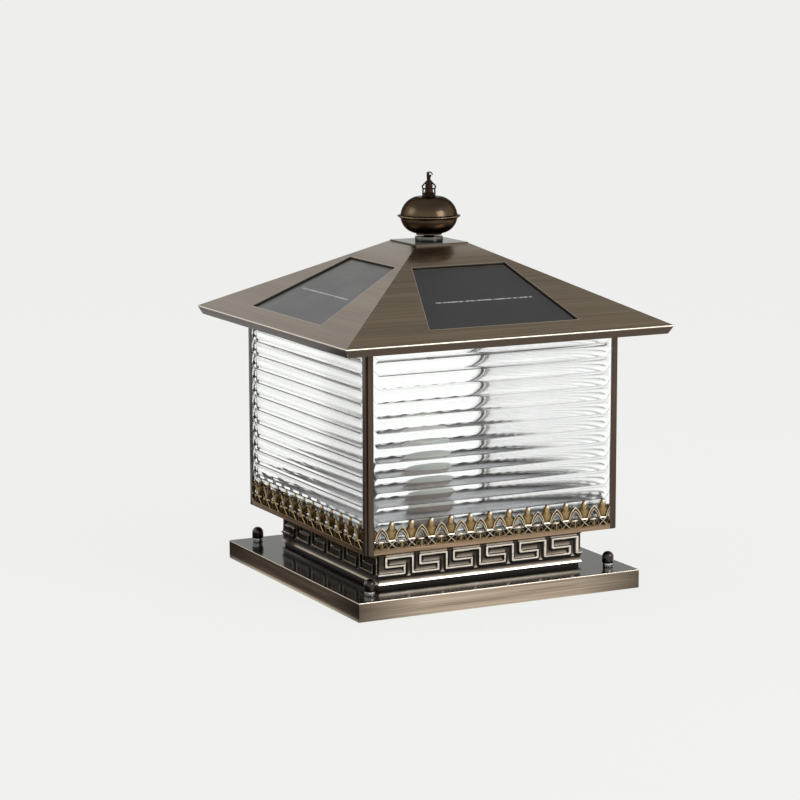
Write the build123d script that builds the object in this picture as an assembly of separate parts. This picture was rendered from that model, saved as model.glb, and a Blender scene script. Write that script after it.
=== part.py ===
from build123d import *
import math
import os

# Solar pillar light. Millimetres, +Z up, origin in the middle of the base plate's underside.
# The front faces -Y. Pieces that repeat on the four sides are made at the front and turned.

# Base plate and its anchors
BASE_SIDE = 300.0
BASE_HEIGHT = 18.0
BASE_SHEET = 1.2
BASE_HEM = 14.0
BASE_EDGE_ROUND = 0.7
ANCHOR_PITCH = 256.0
ANCHOR_HOLE_RADIUS = 3.5
COLLAR_NUT_RADIUS = 5.0
COLLAR_NUT_HEIGHT = 4.5
CAP_NUT_RADIUS = 5.7
CAP_NUT_HEIGHT = 11.5
STUD_RADIUS = 3.0

# Plinth with key-fret panels
PLINTH_SIDE = 220.0
PLINTH_HEIGHT = 39.0
PLINTH_SHEET = 1.2
PLINTH_FLANGE = 18.0
FRET_PLATE = 1.2
FRET_RELIEF = 1.5
FRET_FLAT = 0.2
FRET_DRAFT_DEG = 20.0
FRET_UNITS = 6
FRET_RIDGE = 3.2
FRET_FOOT_GAP = 3.6
FRET_FOOT_BAND = 6.0
FRET_HEAD_BAND = 7.4
FRET_GROOVE = 1.4
FRET_END_MARGIN = 5.0
FRET_LEFT_RISER = 0.223
FRET_RIGHT_RISER = 0.762
FRET_MIDDLE_BAR = 0.49

# Lantern body
LANTERN_SIDE = 268.0
FLOOR_SHEET = 1.2
RAIL_HEIGHT = 4.0
POST_LEG = 7.6
POST_NOTCH = 2.2
POST_SHEET = 1.2
PANE_SET_BACK = 1.5
PANE_WEB = 2.5
FLUTE_DEPTH = 1.9
FLUTE_PITCH = 13.72
FLUTE_COUNT = 14
FLUTE_LAND = 0.3
FLUTE_END = 9.0
PAD_THICKNESS = 1.4
PAD_LENGTH = 200.0
CLIP_SHEET = 0.8
CLIP_WIDTH = 14.0
CLIP_HEIGHT = 12.0
CLIP_FOOT = 8.0
CLIP_SPACING = 150.0

# Palmette frieze
FRIEZE_THICKNESS = 2.0
FRIEZE_PROUD = 0.8
FRIEZE_HEIGHT = 26.6
FRIEZE_PITCH = 20.6
FRIEZE_SHIFT = 5.4
FRIEZE_STRIP = 1.2
FRIEZE_STROKE = 1.6

# Frame on top of the panes, and the rod that holds the roof
FRAME_SHEET = 1.2
FRAME_WIDTH = 16.0
FRAME_SKIRT = 8.0
GASKET_THICKNESS = 1.5
GASKET_WIDTH = 9.0
SPIDER_WIDTH = 20.0
SPIDER_THICKNESS = 3.0
SPIDER_DROP = 4.0
ROD_RADIUS = 3.0
ROD_TAIL = 8.0
ROD_NUT_FLATS = 10.0
ROD_NUT_HEIGHT = 4.0

# Lamp on the lantern's floor
LAMP_RADIUS = 23.0
LAMP_HEIGHT = 30.0
LAMP_WALL = 1.5
LED_BOARD_RADIUS = 19.0
LED_BOARD_THICKNESS = 1.6
LED_CHIP_SIDE = 3.5
LED_CHIP_HEIGHT = 0.8
LED_CHIP_COUNT = 12
LED_RING_RADIUS = 14.0
DIFFUSER_STRAIGHT = 16.0

# Roof
ROOF_SIDE = 344.0
ROOF_RISE = 72.0
ROOF_SHEET = 1.0
ROOF_CAP_SIDE = 56.0
ROOF_CAP_SHEET = 0.8
EAVE_GAP = 0.3
LIP_HEIGHT = 8.0
LIP_INSET = 4.0
LIP_CORNER_GAP = 0.8
WINDOW_FROM_EAVE = 21.5
WINDOW_FROM_CAP = 37.1
WINDOW_FROM_HIP_BOTTOM = 74.3
WINDOW_FROM_HIP_TOP = 11.4
PANEL_LAP = 3.5
PANEL_THICKNESS = 2.5
SEAL_THICKNESS = 1.0
SOFFIT_SHEET = 1.0
SOFFIT_MARGIN = 3.5
REFLECTOR_SHEET = 1.0
REFLECTOR_MARGIN = 7.5
GUSSET_SIDE = 18.0
SOFFIT_SCREW_CLEAR = 2.4

# Control box and battery case above the soffit
BOX_WALL = 1.6
BOX_CENTER_X = 58.0
BOX_LENGTH = 90.0
BOX_WIDTH = 70.0
BOX_HEIGHT = 24.0
BOARD_THICKNESS = 1.6
BOARD_STAND_OFF = 6.0
BOARD_BOSS_RADIUS = 3.0
BOARD_MARGIN = 1.0
CELL_RADIUS = 9.2
CELL_LENGTH = 66.0
CELL_COUNT = 3
BUTTON_RADIUS = 4.5
BUTTON_FLANGE = 1.5
BUTTON_FLANGE_THICKNESS = 1.2
BUTTON_REACH = 3.0
BUTTON_OFFSET_Y = -15.0
BUTTON_GUIDE_GAP = 0.3
LENS_RADIUS = 4.0
LENS_REACH = 2.5
LENS_OFFSET_Y = 15.0

# Finial
FINIAL_COLLAR_RADIUS = 13.5
FINIAL_COLLAR_HEIGHT = 4.6
FINIAL_COLLAR_BEVEL = 0.5
FINIAL_NECK_RADIUS = 5.0
FINIAL_NECK_HEIGHT = 1.5
FINIAL_SHELL = 1.0
FINIAL_FOOT_RADIUS = 12.6
FINIAL_FOOT_HEIGHT = 1.4
FINIAL_BODY_RADIUS = 27.6
FINIAL_FLANGE_RADIUS = 30.6
FINIAL_FLANGE_EDGE = 0.3
FINIAL_FLANGE_TOP = 1.4
FINIAL_FLANGE_UNDER = 2.8
FINIAL_LOWER_HEIGHT = 18.2
FINIAL_UPPER_HEIGHT = 18.4
CROWN_BASE_RADIUS = 7.3
CROWN_BASE_HEIGHT = 2.6
CROWN_STEM_RADIUS = 3.0
CROWN_NECK_RADIUS = 1.7
CROWN_BUD_RADIUS = 2.6
CROWN_NECK_HEIGHT = 16.4
CROWN_HEIGHT = 24.4
CROWN_LOOP_RADIUS = 7.65
CROWN_LOOP_HEIGHT = 9.8
CROWN_LOOP_STROKE = 1.3
CROWN_LOOP_COUNT = 4
CROWN_TURN_DEG = -26.8
CROWN_BOSS_RADIUS = 5.0
CROWN_BOSS_LENGTH = 10.0
CROWN_THREAD_DEPTH = 12.0

# Screws and clearances
SCREW_RADIUS = 2.0
SCREW_HEAD_RADIUS = 3.6
SCREW_HEAD_HEIGHT = 2.2
SCREW_LENGTH = 7.0
PLINTH_SCREW_INSET = 10.0
FIT = 0.05
SEAT = 0.4
LOOSE = 0.3

# Levels, from the ground up
LANTERN_BOTTOM = BASE_HEIGHT + PLINTH_HEIGHT
FLOOR_TOP = LANTERN_BOTTOM + FLOOR_SHEET
RAIL_TOP = LANTERN_BOTTOM + RAIL_HEIGHT
PANE_BOTTOM = FLOOR_TOP + PAD_THICKNESS
PANE_TOP = PANE_BOTTOM + FLUTE_COUNT * FLUTE_PITCH
POST_TOP = PANE_TOP + SEAT
FRAME_TOP = POST_TOP + FRAME_SHEET
SPIDER_TOP = POST_TOP - SPIDER_DROP
SPIDER_BOTTOM = SPIDER_TOP - SPIDER_THICKNESS
SOFFIT_BOTTOM = FRAME_TOP + GASKET_THICKNESS
SOFFIT_TOP = SOFFIT_BOTTOM + SOFFIT_SHEET
EAVE_Z = SOFFIT_TOP + EAVE_GAP
ROOF_TOP = EAVE_Z + ROOF_RISE
CAP_TOP = ROOF_TOP + ROOF_CAP_SHEET
COLLAR_TOP = CAP_TOP + FINIAL_COLLAR_HEIGHT
FINIAL_BOTTOM = COLLAR_TOP + FINIAL_NECK_HEIGHT
FINIAL_SEAM = FINIAL_BOTTOM + FINIAL_LOWER_HEIGHT
CROWN_BOTTOM = FINIAL_SEAM + FINIAL_UPPER_HEIGHT
LAMP_TOP = FLOOR_TOP + LAMP_HEIGHT

# Distances from the lantern's face
PANE_BACK = PANE_SET_BACK + FLUTE_DEPTH + PANE_WEB
HALF_LANTERN = LANTERN_SIDE / 2
HALF_ROOF = ROOF_SIDE / 2
HALF_CAP = ROOF_CAP_SIDE / 2

# Roof slope
ROOF_RUN = HALF_ROOF - HALF_CAP
SLOPE = math.atan2(ROOF_RISE, ROOF_RUN)
SLOPE_LENGTH = math.hypot(ROOF_RISE, ROOF_RUN)
SHEET_DROP = ROOF_SHEET / math.cos(SLOPE)
LIP_THICKNESS = ROOF_SHEET * math.hypot(LIP_HEIGHT, LIP_INSET) / LIP_HEIGHT

SIDES = ("front", "right", "back", "left")
CORNERS = ("front_left", "front_right", "back_right", "back_left")


def slab(x0, x1, y0, y1, z0, z1):
    """A block between two corners."""
    middle = Pos((x0 + x1) / 2, (y0 + y1) / 2, (z0 + z1) / 2)
    return middle * Box(x1 - x0, y1 - y0, z1 - z0)


def square(side, z0, z1):
    """A square block centred on the axis."""
    half = side / 2
    return slab(-half, half, -half, half, z0, z1)


def rod(radius, z0, z1, x=0.0, y=0.0):
    """An upright cylinder."""
    return Pos(x, y, (z0 + z1) / 2) * Cylinder(radius, z1 - z0)


def four_corners(distance):
    """The four points at one distance from both centre lines."""
    return [(sx * distance, sy * distance) for sx in (-1, 1) for sy in (-1, 1)]


def turned(profile):
    """A solid of revolution about Z from a closed line in radius and height."""
    return revolve(Plane.XZ * make_face(profile), Axis.Z)


def front_wedge(gap):
    """The upright wedge in front of both diagonals, pulled back from them by a gap."""
    reach = ROOF_SIDE
    outline = Polyline((0, -gap), (-reach, -reach - gap), (reach, -reach - gap), close=True)
    return Pos(0, 0, -reach) * extrude(make_face(outline), 4 * reach)


def on_four_sides(name, shape, pieces):
    """One copy of a front piece for each side."""
    for index, side in enumerate(SIDES):
        pieces[f"{name}_{side}"] = Rot(0, 0, 90 * index) * shape


def four_turns(shapes):
    """Copies of front pieces turned to all four sides, as separate solids."""
    return Compound(children=[Rot(0, 0, 90 * index) * shape for index in range(4) for shape in shapes])


def screw(x, y, seat, direction):
    """A pan-head screw whose head sits on a level and whose shank points up or down."""
    head = rod(SCREW_HEAD_RADIUS, 0, SCREW_HEAD_HEIGHT)
    shank = rod(SCREW_RADIUS, -SCREW_LENGTH, 0)
    turn = Rot(180, 0, 0) if direction == "up" else Rot(0, 0, 0)
    return Pos(x, y, seat) * turn * (head + shank)


def screw_holes(points, z0, z1):
    """Clearance holes for screws at some points."""
    return [rod(SCREW_RADIUS + FIT, z0, z1, x, y) for x, y in points]


PLINTH_CORE_SIDE = PLINTH_SIDE - 2 * (FRET_PLATE + FRET_RELIEF)
PANEL_BOTTOM = BASE_HEIGHT + FRET_FOOT_GAP
PLINTH_SCREWS = four_corners(PLINTH_CORE_SIDE / 2 - PLINTH_SHEET - PLINTH_SCREW_INSET)


def base_plate():
    """A folded tray, open below, with an inward hem to stand on."""
    block = square(BASE_SIDE, 0, BASE_HEIGHT)
    outer_edges = block.edges().filter_by(Axis.Z) + block.edges().group_by(Axis.Z)[-1]
    block = fillet(outer_edges, BASE_EDGE_ROUND)
    block -= square(BASE_SIDE - 2 * BASE_SHEET, BASE_SHEET, BASE_HEIGHT - BASE_SHEET)
    block -= square(BASE_SIDE - 2 * BASE_HEM, 0, BASE_SHEET)
    for x, y in four_corners(ANCHOR_PITCH / 2):
        block -= rod(ANCHOR_HOLE_RADIUS, 0, BASE_HEIGHT, x, y)
    for hole in screw_holes(PLINTH_SCREWS, 0, BASE_HEIGHT):
        block -= hole
    return block


def anchor_collars():
    """A plain round nut on the base plate at each anchor."""
    points = four_corners(ANCHOR_PITCH / 2)
    top = BASE_HEIGHT + COLLAR_NUT_HEIGHT
    ring = rod(COLLAR_NUT_RADIUS, BASE_HEIGHT, top) - rod(STUD_RADIUS + FIT, BASE_HEIGHT, top)
    return Compound(children=[Pos(x, y, 0) * ring for x, y in points])


def anchor_cap_nuts():
    """A domed cap nut above each collar, with a blind thread."""
    foot = BASE_HEIGHT + COLLAR_NUT_HEIGHT
    shoulder = foot + CAP_NUT_HEIGHT - CAP_NUT_RADIUS
    profile = Polyline((0, shoulder + CAP_NUT_RADIUS), (0, foot), (CAP_NUT_RADIUS, foot), (CAP_NUT_RADIUS, shoulder))
    dome = CenterArc((0, shoulder), CAP_NUT_RADIUS, 0, 90)
    nut = turned(profile + dome) - rod(STUD_RADIUS + FIT, foot, shoulder)
    return Compound(children=[Pos(x, y, 0) * nut for x, y in four_corners(ANCHOR_PITCH / 2)])


def plinth_core():
    """A square tube with flanges turned in at both ends."""
    tube = square(PLINTH_CORE_SIDE, BASE_HEIGHT, LANTERN_BOTTOM)
    inside = PLINTH_CORE_SIDE - 2 * PLINTH_SHEET
    tube -= square(inside, BASE_HEIGHT + PLINTH_SHEET, LANTERN_BOTTOM - PLINTH_SHEET)
    tube -= square(inside - 2 * PLINTH_FLANGE, BASE_HEIGHT, LANTERN_BOTTOM)
    for hole in screw_holes(PLINTH_SCREWS, BASE_HEIGHT, LANTERN_BOTTOM):
        tube -= hole
    return tube


def fret_ridges():
    """The running key: along the bottom, up to the middle bar, back, up, along the top and down."""
    bottom = PANEL_BOTTOM + FRET_FOOT_BAND + FRET_GROOVE + FRET_RIDGE / 2
    top = LANTERN_BOTTOM - FRET_HEAD_BAND - FRET_GROOVE - FRET_RIDGE / 2
    middle = bottom + FRET_MIDDLE_BAR * (top - bottom)
    half = PLINTH_SIDE / 2
    pitch = (PLINTH_SIDE - FRET_END_MARGIN) / FRET_UNITS
    corners = [(-half, bottom)]
    for unit in range(FRET_UNITS):
        start = unit * pitch - half
        left = start + FRET_LEFT_RISER * pitch
        right = start + FRET_RIGHT_RISER * pitch
        end = start + pitch
        corners += [(right, bottom), (right, middle), (left, middle), (left, top), (end, top), (end, bottom)]
    corners.append((half, bottom))
    ridges = Sketch()
    for (x0, z0), (x1, z1) in zip(corners, corners[1:]):
        length = abs(x1 - x0) + FRET_RIDGE
        height = abs(z1 - z0) + FRET_RIDGE
        ridges += Pos((x0 + x1) / 2, (z0 + z1) / 2) * Rectangle(length, height)
    return ridges


def fret_panel():
    """A thin plate with the raised key and plain bands along its foot and head, mitred at the corners."""
    face = -PLINTH_SIDE / 2 + FRET_RELIEF
    half = PLINTH_SIDE / 2
    back = -PLINTH_CORE_SIDE / 2
    plate = slab(-half, half, face, back, PANEL_BOTTOM, LANTERN_BOTTOM)
    front = Plane(origin=(0, face, 0), x_dir=(1, 0, 0), z_dir=(0, -1, 0))
    key = extrude(front * fret_ridges(), FRET_RELIEF, taper=FRET_DRAFT_DEG)
    bevel = FRET_RELIEF - FRET_FLAT
    foot = slab(-half, half, face - FRET_RELIEF, face, PANEL_BOTTOM, PANEL_BOTTOM + FRET_FOOT_BAND)
    foot = chamfer(foot.edges().filter_by(Axis.X).sort_by(lambda e: e.center().Z - e.center().Y)[-1], bevel)
    head = slab(-half, half, face - FRET_RELIEF, face, LANTERN_BOTTOM - FRET_HEAD_BAND, LANTERN_BOTTOM)
    head = chamfer(head.edges().filter_by(Axis.X).sort_by(lambda e: e.center().Z + e.center().Y)[0], bevel)
    return (plate + key + foot + head) & front_wedge(0)


def floor_tray():
    """The lantern's floor with a rim turned up as the bottom rail, cut out at the corner posts."""
    tray = square(LANTERN_SIDE, LANTERN_BOTTOM, RAIL_TOP)
    tray -= square(LANTERN_SIDE - 2 * FLOOR_SHEET, FLOOR_TOP, RAIL_TOP)
    for x, y in four_corners(HALF_LANTERN - POST_LEG / 2):
        tray -= Pos(x, y, (LANTERN_BOTTOM + RAIL_TOP) / 2) * Box(POST_LEG, POST_LEG, RAIL_HEIGHT)
    for hole in screw_holes(PLINTH_SCREWS, LANTERN_BOTTOM, FLOOR_TOP):
        tray -= hole
    return tray


def corner_post():
    """A folded strip: two narrow legs with a square notch along the outer corner."""
    inner = POST_NOTCH + POST_SHEET
    outline = Polyline(
        (POST_LEG, 0), (POST_NOTCH, 0), (POST_NOTCH, POST_NOTCH), (0, POST_NOTCH), (0, POST_LEG),
        (POST_SHEET, POST_LEG), (POST_SHEET, inner), (inner, inner), (inner, POST_SHEET), (POST_LEG, POST_SHEET),
        close=True,
    )
    strip = extrude(make_face(outline), POST_TOP - LANTERN_BOTTOM)
    return Pos(-HALF_LANTERN, -HALF_LANTERN, LANTERN_BOTTOM) * strip


def flute_cutter():
    """A round-ended bar along X whose lower side is as wide and as deep as one flute."""
    half_width = (FLUTE_PITCH - FLUTE_LAND) / 2
    radius = (half_width**2 + FLUTE_DEPTH**2) / (2 * FLUTE_DEPTH)
    reach = HALF_LANTERN - FLUTE_END - half_width
    outline = Polyline((-reach, radius), (reach, radius)) + CenterArc((reach, 0), radius, 0, 90)
    outline += Line((reach + radius, 0), (-reach - radius, 0)) + CenterArc((-reach, 0), radius, 90, 90)
    return Pos(0, FLUTE_DEPTH - radius, 0) * revolve(make_face(outline), Axis.X)


def pane():
    """A clear sheet, smooth inside, with hollow, round-ended flutes across its outer face."""
    face = -HALF_LANTERN + PANE_SET_BACK
    back = -HALF_LANTERN + PANE_BACK
    left = -HALF_LANTERN + POST_NOTCH + POST_SHEET + SEAT
    right = HALF_LANTERN - PANE_BACK - SEAT
    sheet = slab(left, right, face, back, PANE_BOTTOM, PANE_TOP)
    cutter = flute_cutter()
    for flute in range(FLUTE_COUNT):
        sheet -= Pos(0, face, PANE_BOTTOM + (flute + 0.5) * FLUTE_PITCH) * cutter
    return sheet


def pane_pads():
    """A soft strip under each pane."""
    front = -HALF_LANTERN + PANE_SET_BACK
    back = -HALF_LANTERN + PANE_BACK
    return four_turns([slab(-PAD_LENGTH / 2, PAD_LENGTH / 2, front, back, FLOOR_TOP, PANE_BOTTOM)])


def pane_clips():
    """Two bent clips behind the foot of each pane."""
    front = -HALF_LANTERN + PANE_BACK + LOOSE
    clips = []
    for x in (-CLIP_SPACING / 2, CLIP_SPACING / 2):
        left = x - CLIP_WIDTH / 2
        right = x + CLIP_WIDTH / 2
        upright = slab(left, right, front, front + CLIP_SHEET, FLOOR_TOP, FLOOR_TOP + CLIP_HEIGHT)
        foot = slab(left, right, front, front + CLIP_FOOT, FLOOR_TOP, FLOOR_TOP + CLIP_SHEET)
        clips.append(upright + foot)
    return four_turns(clips)


def stroke(x0, z0, x1, z1, width):
    """A straight bar with round ends in the frieze's plane."""
    length = math.hypot(x1 - x0, z1 - z0)
    angle = math.degrees(math.atan2(z1 - z0, x1 - x0))
    return Pos((x0 + x1) / 2, (z0 + z1) / 2) * Rot(0, 0, angle) * SlotCenterToCenter(length, width)


def palmette():
    """One leaf on a cup, with half of a double-lined tent to each side and scrolls under them."""
    half = FRIEZE_PITCH / 2
    top = FRIEZE_HEIGHT
    cup = 0.33 * top
    shape = Pos(0, 0.8 * top) * Ellipse(0.3 * half, 0.2 * top)
    shape += make_face(Polyline(
        (-0.38 * half, cup), (0.38 * half, cup), (0.57 * half, 0.56 * top), (0.26 * half, 0.74 * top),
        (-0.26 * half, 0.74 * top), (-0.57 * half, 0.56 * top), close=True,
    ))
    shape += Pos(0, cup) * Rectangle(0.8 * half, FRIEZE_STROKE)
    for side in (-1, 1):
        middle = side * half
        shape += stroke(0.42 * middle, 0.5 * top, middle, 0.755 * top, FRIEZE_STROKE)
        shape += stroke(0.38 * middle, 0.36 * top, middle, 0.6 * top, FRIEZE_STROKE)
        shape += stroke(-0.3 * middle, cup, 0.44 * middle, 0, FRIEZE_STROKE)
        scroll = Circle(0.26 * half) - Circle(0.26 * half - 0.7 * FRIEZE_STROKE)
        shape += Pos(0.66 * middle, 0.13 * top) * scroll
        shape += Pos(middle, 0.23 * top) * Rectangle(0.7 * half, FRIEZE_STROKE)
        shape += stroke(middle, 0, middle, 0.25 * top, FRIEZE_STROKE)
    return shape


def frieze():
    """A pierced strip of palmettes that stands on the bottom rail in front of a pane."""
    width = LANTERN_SIDE - 2 * POST_LEG - 2 * SEAT
    reach = math.ceil(width / FRIEZE_PITCH / 2)
    flat = Pos(0, FRIEZE_STRIP / 2) * Rectangle(width, FRIEZE_STRIP)
    for unit in range(-reach, reach + 1):
        flat += Pos(unit * FRIEZE_PITCH + FRIEZE_SHIFT - FRIEZE_PITCH / 2, 0) * palmette()
    flat &= Pos(0, FRIEZE_HEIGHT / 2) * Rectangle(width, FRIEZE_HEIGHT)
    back = -HALF_LANTERN - FRIEZE_PROUD + FRIEZE_THICKNESS
    plane = Plane(origin=(0, back, RAIL_TOP), x_dir=(1, 0, 0), z_dir=(0, -1, 0))
    return extrude(plane * flat, FRIEZE_THICKNESS)


SKIRT_OUTER = LANTERN_SIDE - 2 * (PANE_BACK + LOOSE)
SKIRT_INNER = SKIRT_OUTER - 2 * FRAME_SHEET
FRAME_OPENING = LANTERN_SIDE - 2 * FRAME_WIDTH
GASKET_OPENING = LANTERN_SIDE - FRAME_WIDTH - GASKET_WIDTH


def top_frame():
    """A flat square ring on the posts with a skirt that traps the panes' top edges."""
    ring = square(LANTERN_SIDE, POST_TOP, FRAME_TOP) - square(FRAME_OPENING, POST_TOP, FRAME_TOP)
    skirt = square(SKIRT_OUTER, POST_TOP - FRAME_SKIRT, POST_TOP)
    skirt -= square(SKIRT_INNER, POST_TOP - FRAME_SKIRT, POST_TOP)
    return ring + skirt


def roof_gasket():
    """A square seal between the frame and the soffit."""
    outer = square(GASKET_OPENING + 2 * GASKET_WIDTH, FRAME_TOP, SOFFIT_BOTTOM)
    return outer - square(GASKET_OPENING, FRAME_TOP, SOFFIT_BOTTOM)


def spider_bar():
    """A flat bar across the frame that carries the rod."""
    half = SKIRT_INNER / 2
    bar = slab(-half, half, -SPIDER_WIDTH / 2, SPIDER_WIDTH / 2, SPIDER_BOTTOM, SPIDER_TOP)
    return bar - rod(ROD_RADIUS + FIT, SPIDER_BOTTOM, SPIDER_TOP)


def center_rod():
    """The threaded rod from the spider bar up into the finial."""
    top = CROWN_BOTTOM - CROWN_BOSS_LENGTH + CROWN_THREAD_DEPTH - SEAT
    return rod(ROD_RADIUS, SPIDER_BOTTOM - ROD_TAIL, top)


def rod_nuts():
    """A thin hexagon nut on each side of the spider bar."""
    hexagon = RegularPolygon(ROD_NUT_FLATS / 2, 6, major_radius=False) - Circle(ROD_RADIUS + FIT)
    nut = extrude(hexagon, ROD_NUT_HEIGHT)
    return Compound(children=[Pos(0, 0, SPIDER_TOP) * nut, Pos(0, 0, SPIDER_BOTTOM - ROD_NUT_HEIGHT) * nut])


def lamp_can():
    """An upturned cup that lifts the light board off the floor."""
    can = rod(LAMP_RADIUS, FLOOR_TOP, LAMP_TOP)
    return can - rod(LAMP_RADIUS - LAMP_WALL, FLOOR_TOP, LAMP_TOP - LAMP_WALL)


def led_board():
    """A round board on the can."""
    return rod(LED_BOARD_RADIUS, LAMP_TOP, LAMP_TOP + LED_BOARD_THICKNESS)


def led_chips():
    """A ring of small square light sources on the board."""
    foot = LAMP_TOP + LED_BOARD_THICKNESS
    half = LED_CHIP_SIDE / 2
    chip = Pos(LED_RING_RADIUS, 0, 0) * slab(-half, half, -half, half, foot, foot + LED_CHIP_HEIGHT)
    step = 360 / LED_CHIP_COUNT
    return Compound(children=[Rot(0, 0, step * index) * chip for index in range(LED_CHIP_COUNT)])


def dome(radius, foot, straight):
    """A cylinder with a hemispherical top."""
    return rod(radius, foot, foot + straight) + Pos(0, 0, foot + straight) * Sphere(radius)


def lamp_diffuser():
    """A thin domed cover over the board."""
    outer = dome(LAMP_RADIUS, LAMP_TOP, DIFFUSER_STRAIGHT)
    shell = outer - dome(LAMP_RADIUS - LAMP_WALL, LAMP_TOP, DIFFUSER_STRAIGHT)
    return shell - rod(LAMP_RADIUS, LAMP_TOP - 2 * LAMP_RADIUS, LAMP_TOP)


def slope_plane(depth):
    """The front slope at some depth under its outer face: x across, y up the slope."""
    normal = Vector(0, -math.sin(SLOPE), math.cos(SLOPE))
    origin = Vector(0, -HALF_ROOF, EAVE_Z) - normal * depth
    return Plane(origin=origin, x_dir=(1, 0, 0), z_dir=normal)


def window(lap):
    """The window's trapezium in the slope's plane, widened by a lap on every edge."""
    low = WINDOW_FROM_EAVE
    high = SLOPE_LENGTH - WINDOW_FROM_CAP
    half_low = HALF_ROOF - low * math.cos(SLOPE) - WINDOW_FROM_HIP_BOTTOM
    half_high = HALF_ROOF - high * math.cos(SLOPE) - WINDOW_FROM_HIP_TOP
    rake = (half_low - half_high) / (high - low)
    side_lap = lap * math.hypot(1, rake)
    half_low += side_lap + rake * lap
    half_high += side_lap - rake * lap
    corners = [(-half_low, low - lap), (half_low, low - lap), (half_high, high + lap), (-half_high, high + lap)]
    return make_face(Polyline(*corners, close=True))


def roof_sheet():
    """One slope with its folded lip, mitred along the hips, open at the window."""
    inner_eave = HALF_ROOF - LIP_THICKNESS
    inner_fold = EAVE_Z + LIP_THICKNESS * math.tan(SLOPE) - SHEET_DROP
    inner_top = HALF_CAP - SHEET_DROP / math.tan(SLOPE)
    slope_outline = Polyline(
        (-HALF_ROOF, EAVE_Z), (-HALF_CAP, ROOF_TOP), (-inner_top, ROOF_TOP), (-inner_eave, inner_fold), close=True,
    )
    lip_foot = EAVE_Z - LIP_HEIGHT
    lip_outline = Polyline(
        (-HALF_ROOF, EAVE_Z), (-inner_eave, inner_fold),
        (-HALF_ROOF + LIP_INSET + LIP_THICKNESS, lip_foot), (-HALF_ROOF + LIP_INSET, lip_foot), close=True,
    )
    slope = extrude(Plane.YZ * make_face(slope_outline), HALF_ROOF, both=True) & front_wedge(0)
    lip = extrude(Plane.YZ * make_face(lip_outline), HALF_ROOF, both=True) & front_wedge(LIP_CORNER_GAP)
    opening = extrude(slope_plane(-ROOF_SHEET) * window(0), -3 * ROOF_SHEET)
    return slope + lip - opening


def solar_panel():
    """A laminated cell plate that lies under the window."""
    return extrude(slope_plane(ROOF_SHEET + SEAL_THICKNESS) * window(PANEL_LAP), -PANEL_THICKNESS)


def panel_seals():
    """A flat seal round each window, between sheet and panel."""
    return four_turns([extrude(slope_plane(ROOF_SHEET) * (window(PANEL_LAP) - window(0)), -SEAL_THICKNESS)])


def roof_cap():
    """The flat plate that closes the roof's top."""
    cap = square(ROOF_CAP_SIDE, ROOF_TOP, CAP_TOP)
    return cap - rod(ROD_RADIUS + LOOSE, ROOF_TOP, CAP_TOP)


BOX_X = (BOX_CENTER_X - BOX_WIDTH / 2, BOX_CENTER_X + BOX_WIDTH / 2)
SOFFIT_SCREWS = four_corners(HALF_LANTERN + SOFFIT_SCREW_CLEAR + SCREW_HEAD_RADIUS)


def control_openings(part, z0, z1):
    """A piece with the button's and the lens's holes through it."""
    part -= rod(BUTTON_RADIUS + BUTTON_GUIDE_GAP, z0, z1, BOX_CENTER_X, BUTTON_OFFSET_Y)
    return part - rod(LENS_RADIUS + FIT, z0, z1, BOX_CENTER_X, LENS_OFFSET_Y)


def soffit_plate():
    """The sheet that closes the roof from below."""
    plate = square(ROOF_SIDE - 2 * SOFFIT_MARGIN, SOFFIT_BOTTOM, SOFFIT_TOP)
    plate -= rod(ROD_RADIUS + LOOSE, SOFFIT_BOTTOM, SOFFIT_TOP)
    for hole in screw_holes(SOFFIT_SCREWS, SOFFIT_BOTTOM, SOFFIT_TOP):
        plate -= hole
    return control_openings(plate, SOFFIT_BOTTOM, SOFFIT_TOP)


def reflector_plate():
    """A white plate under the soffit, inside the frame."""
    foot = SOFFIT_BOTTOM - REFLECTOR_SHEET
    plate = square(GASKET_OPENING - 2 * REFLECTOR_MARGIN, foot, SOFFIT_BOTTOM)
    plate -= rod(ROD_RADIUS + LOOSE, foot, SOFFIT_BOTTOM)
    return control_openings(plate, foot, SOFFIT_BOTTOM)


def roof_gussets():
    """A block in each corner of the roof that takes a soffit screw."""
    rise = math.tan(SLOPE)
    under_eave = EAVE_Z - SHEET_DROP
    apex = under_eave + HALF_ROOF * rise
    ridge = Polyline((-HALF_ROOF, under_eave), (HALF_ROOF, under_eave), (0, apex), close=True)
    across = extrude(Plane.YZ * make_face(ridge), HALF_ROOF, both=True)
    along = extrude(Plane.XZ * make_face(ridge), HALF_ROOF, both=True)
    blocks = []
    for x, y in SOFFIT_SCREWS:
        block = Pos(x, y, SOFFIT_TOP + GUSSET_SIDE / 2) * Box(GUSSET_SIDE, GUSSET_SIDE, GUSSET_SIDE)
        block -= rod(SCREW_RADIUS + FIT, SOFFIT_TOP, SOFFIT_TOP + SCREW_LENGTH, x, y)
        blocks.append(block & across & along)
    return Compound(children=blocks)


def tray_box(x0, x1):
    """An open plastic box on the soffit."""
    half = BOX_LENGTH / 2
    top = SOFFIT_TOP + BOX_HEIGHT
    box = slab(x0, x1, -half, half, SOFFIT_TOP, top)
    floor = SOFFIT_TOP + BOX_WALL
    return box - slab(x0 + BOX_WALL, x1 - BOX_WALL, -half + BOX_WALL, half - BOX_WALL, floor, top)


BOARD_HALF_X = BOX_WIDTH / 2 - BOX_WALL - BOARD_MARGIN
BOARD_HALF_Y = BOX_LENGTH / 2 - BOX_WALL - BOARD_MARGIN
BOARD_BOTTOM = SOFFIT_TOP + BOX_WALL + BOARD_STAND_OFF
BOX_FLOOR = SOFFIT_TOP + BOX_WALL


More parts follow.
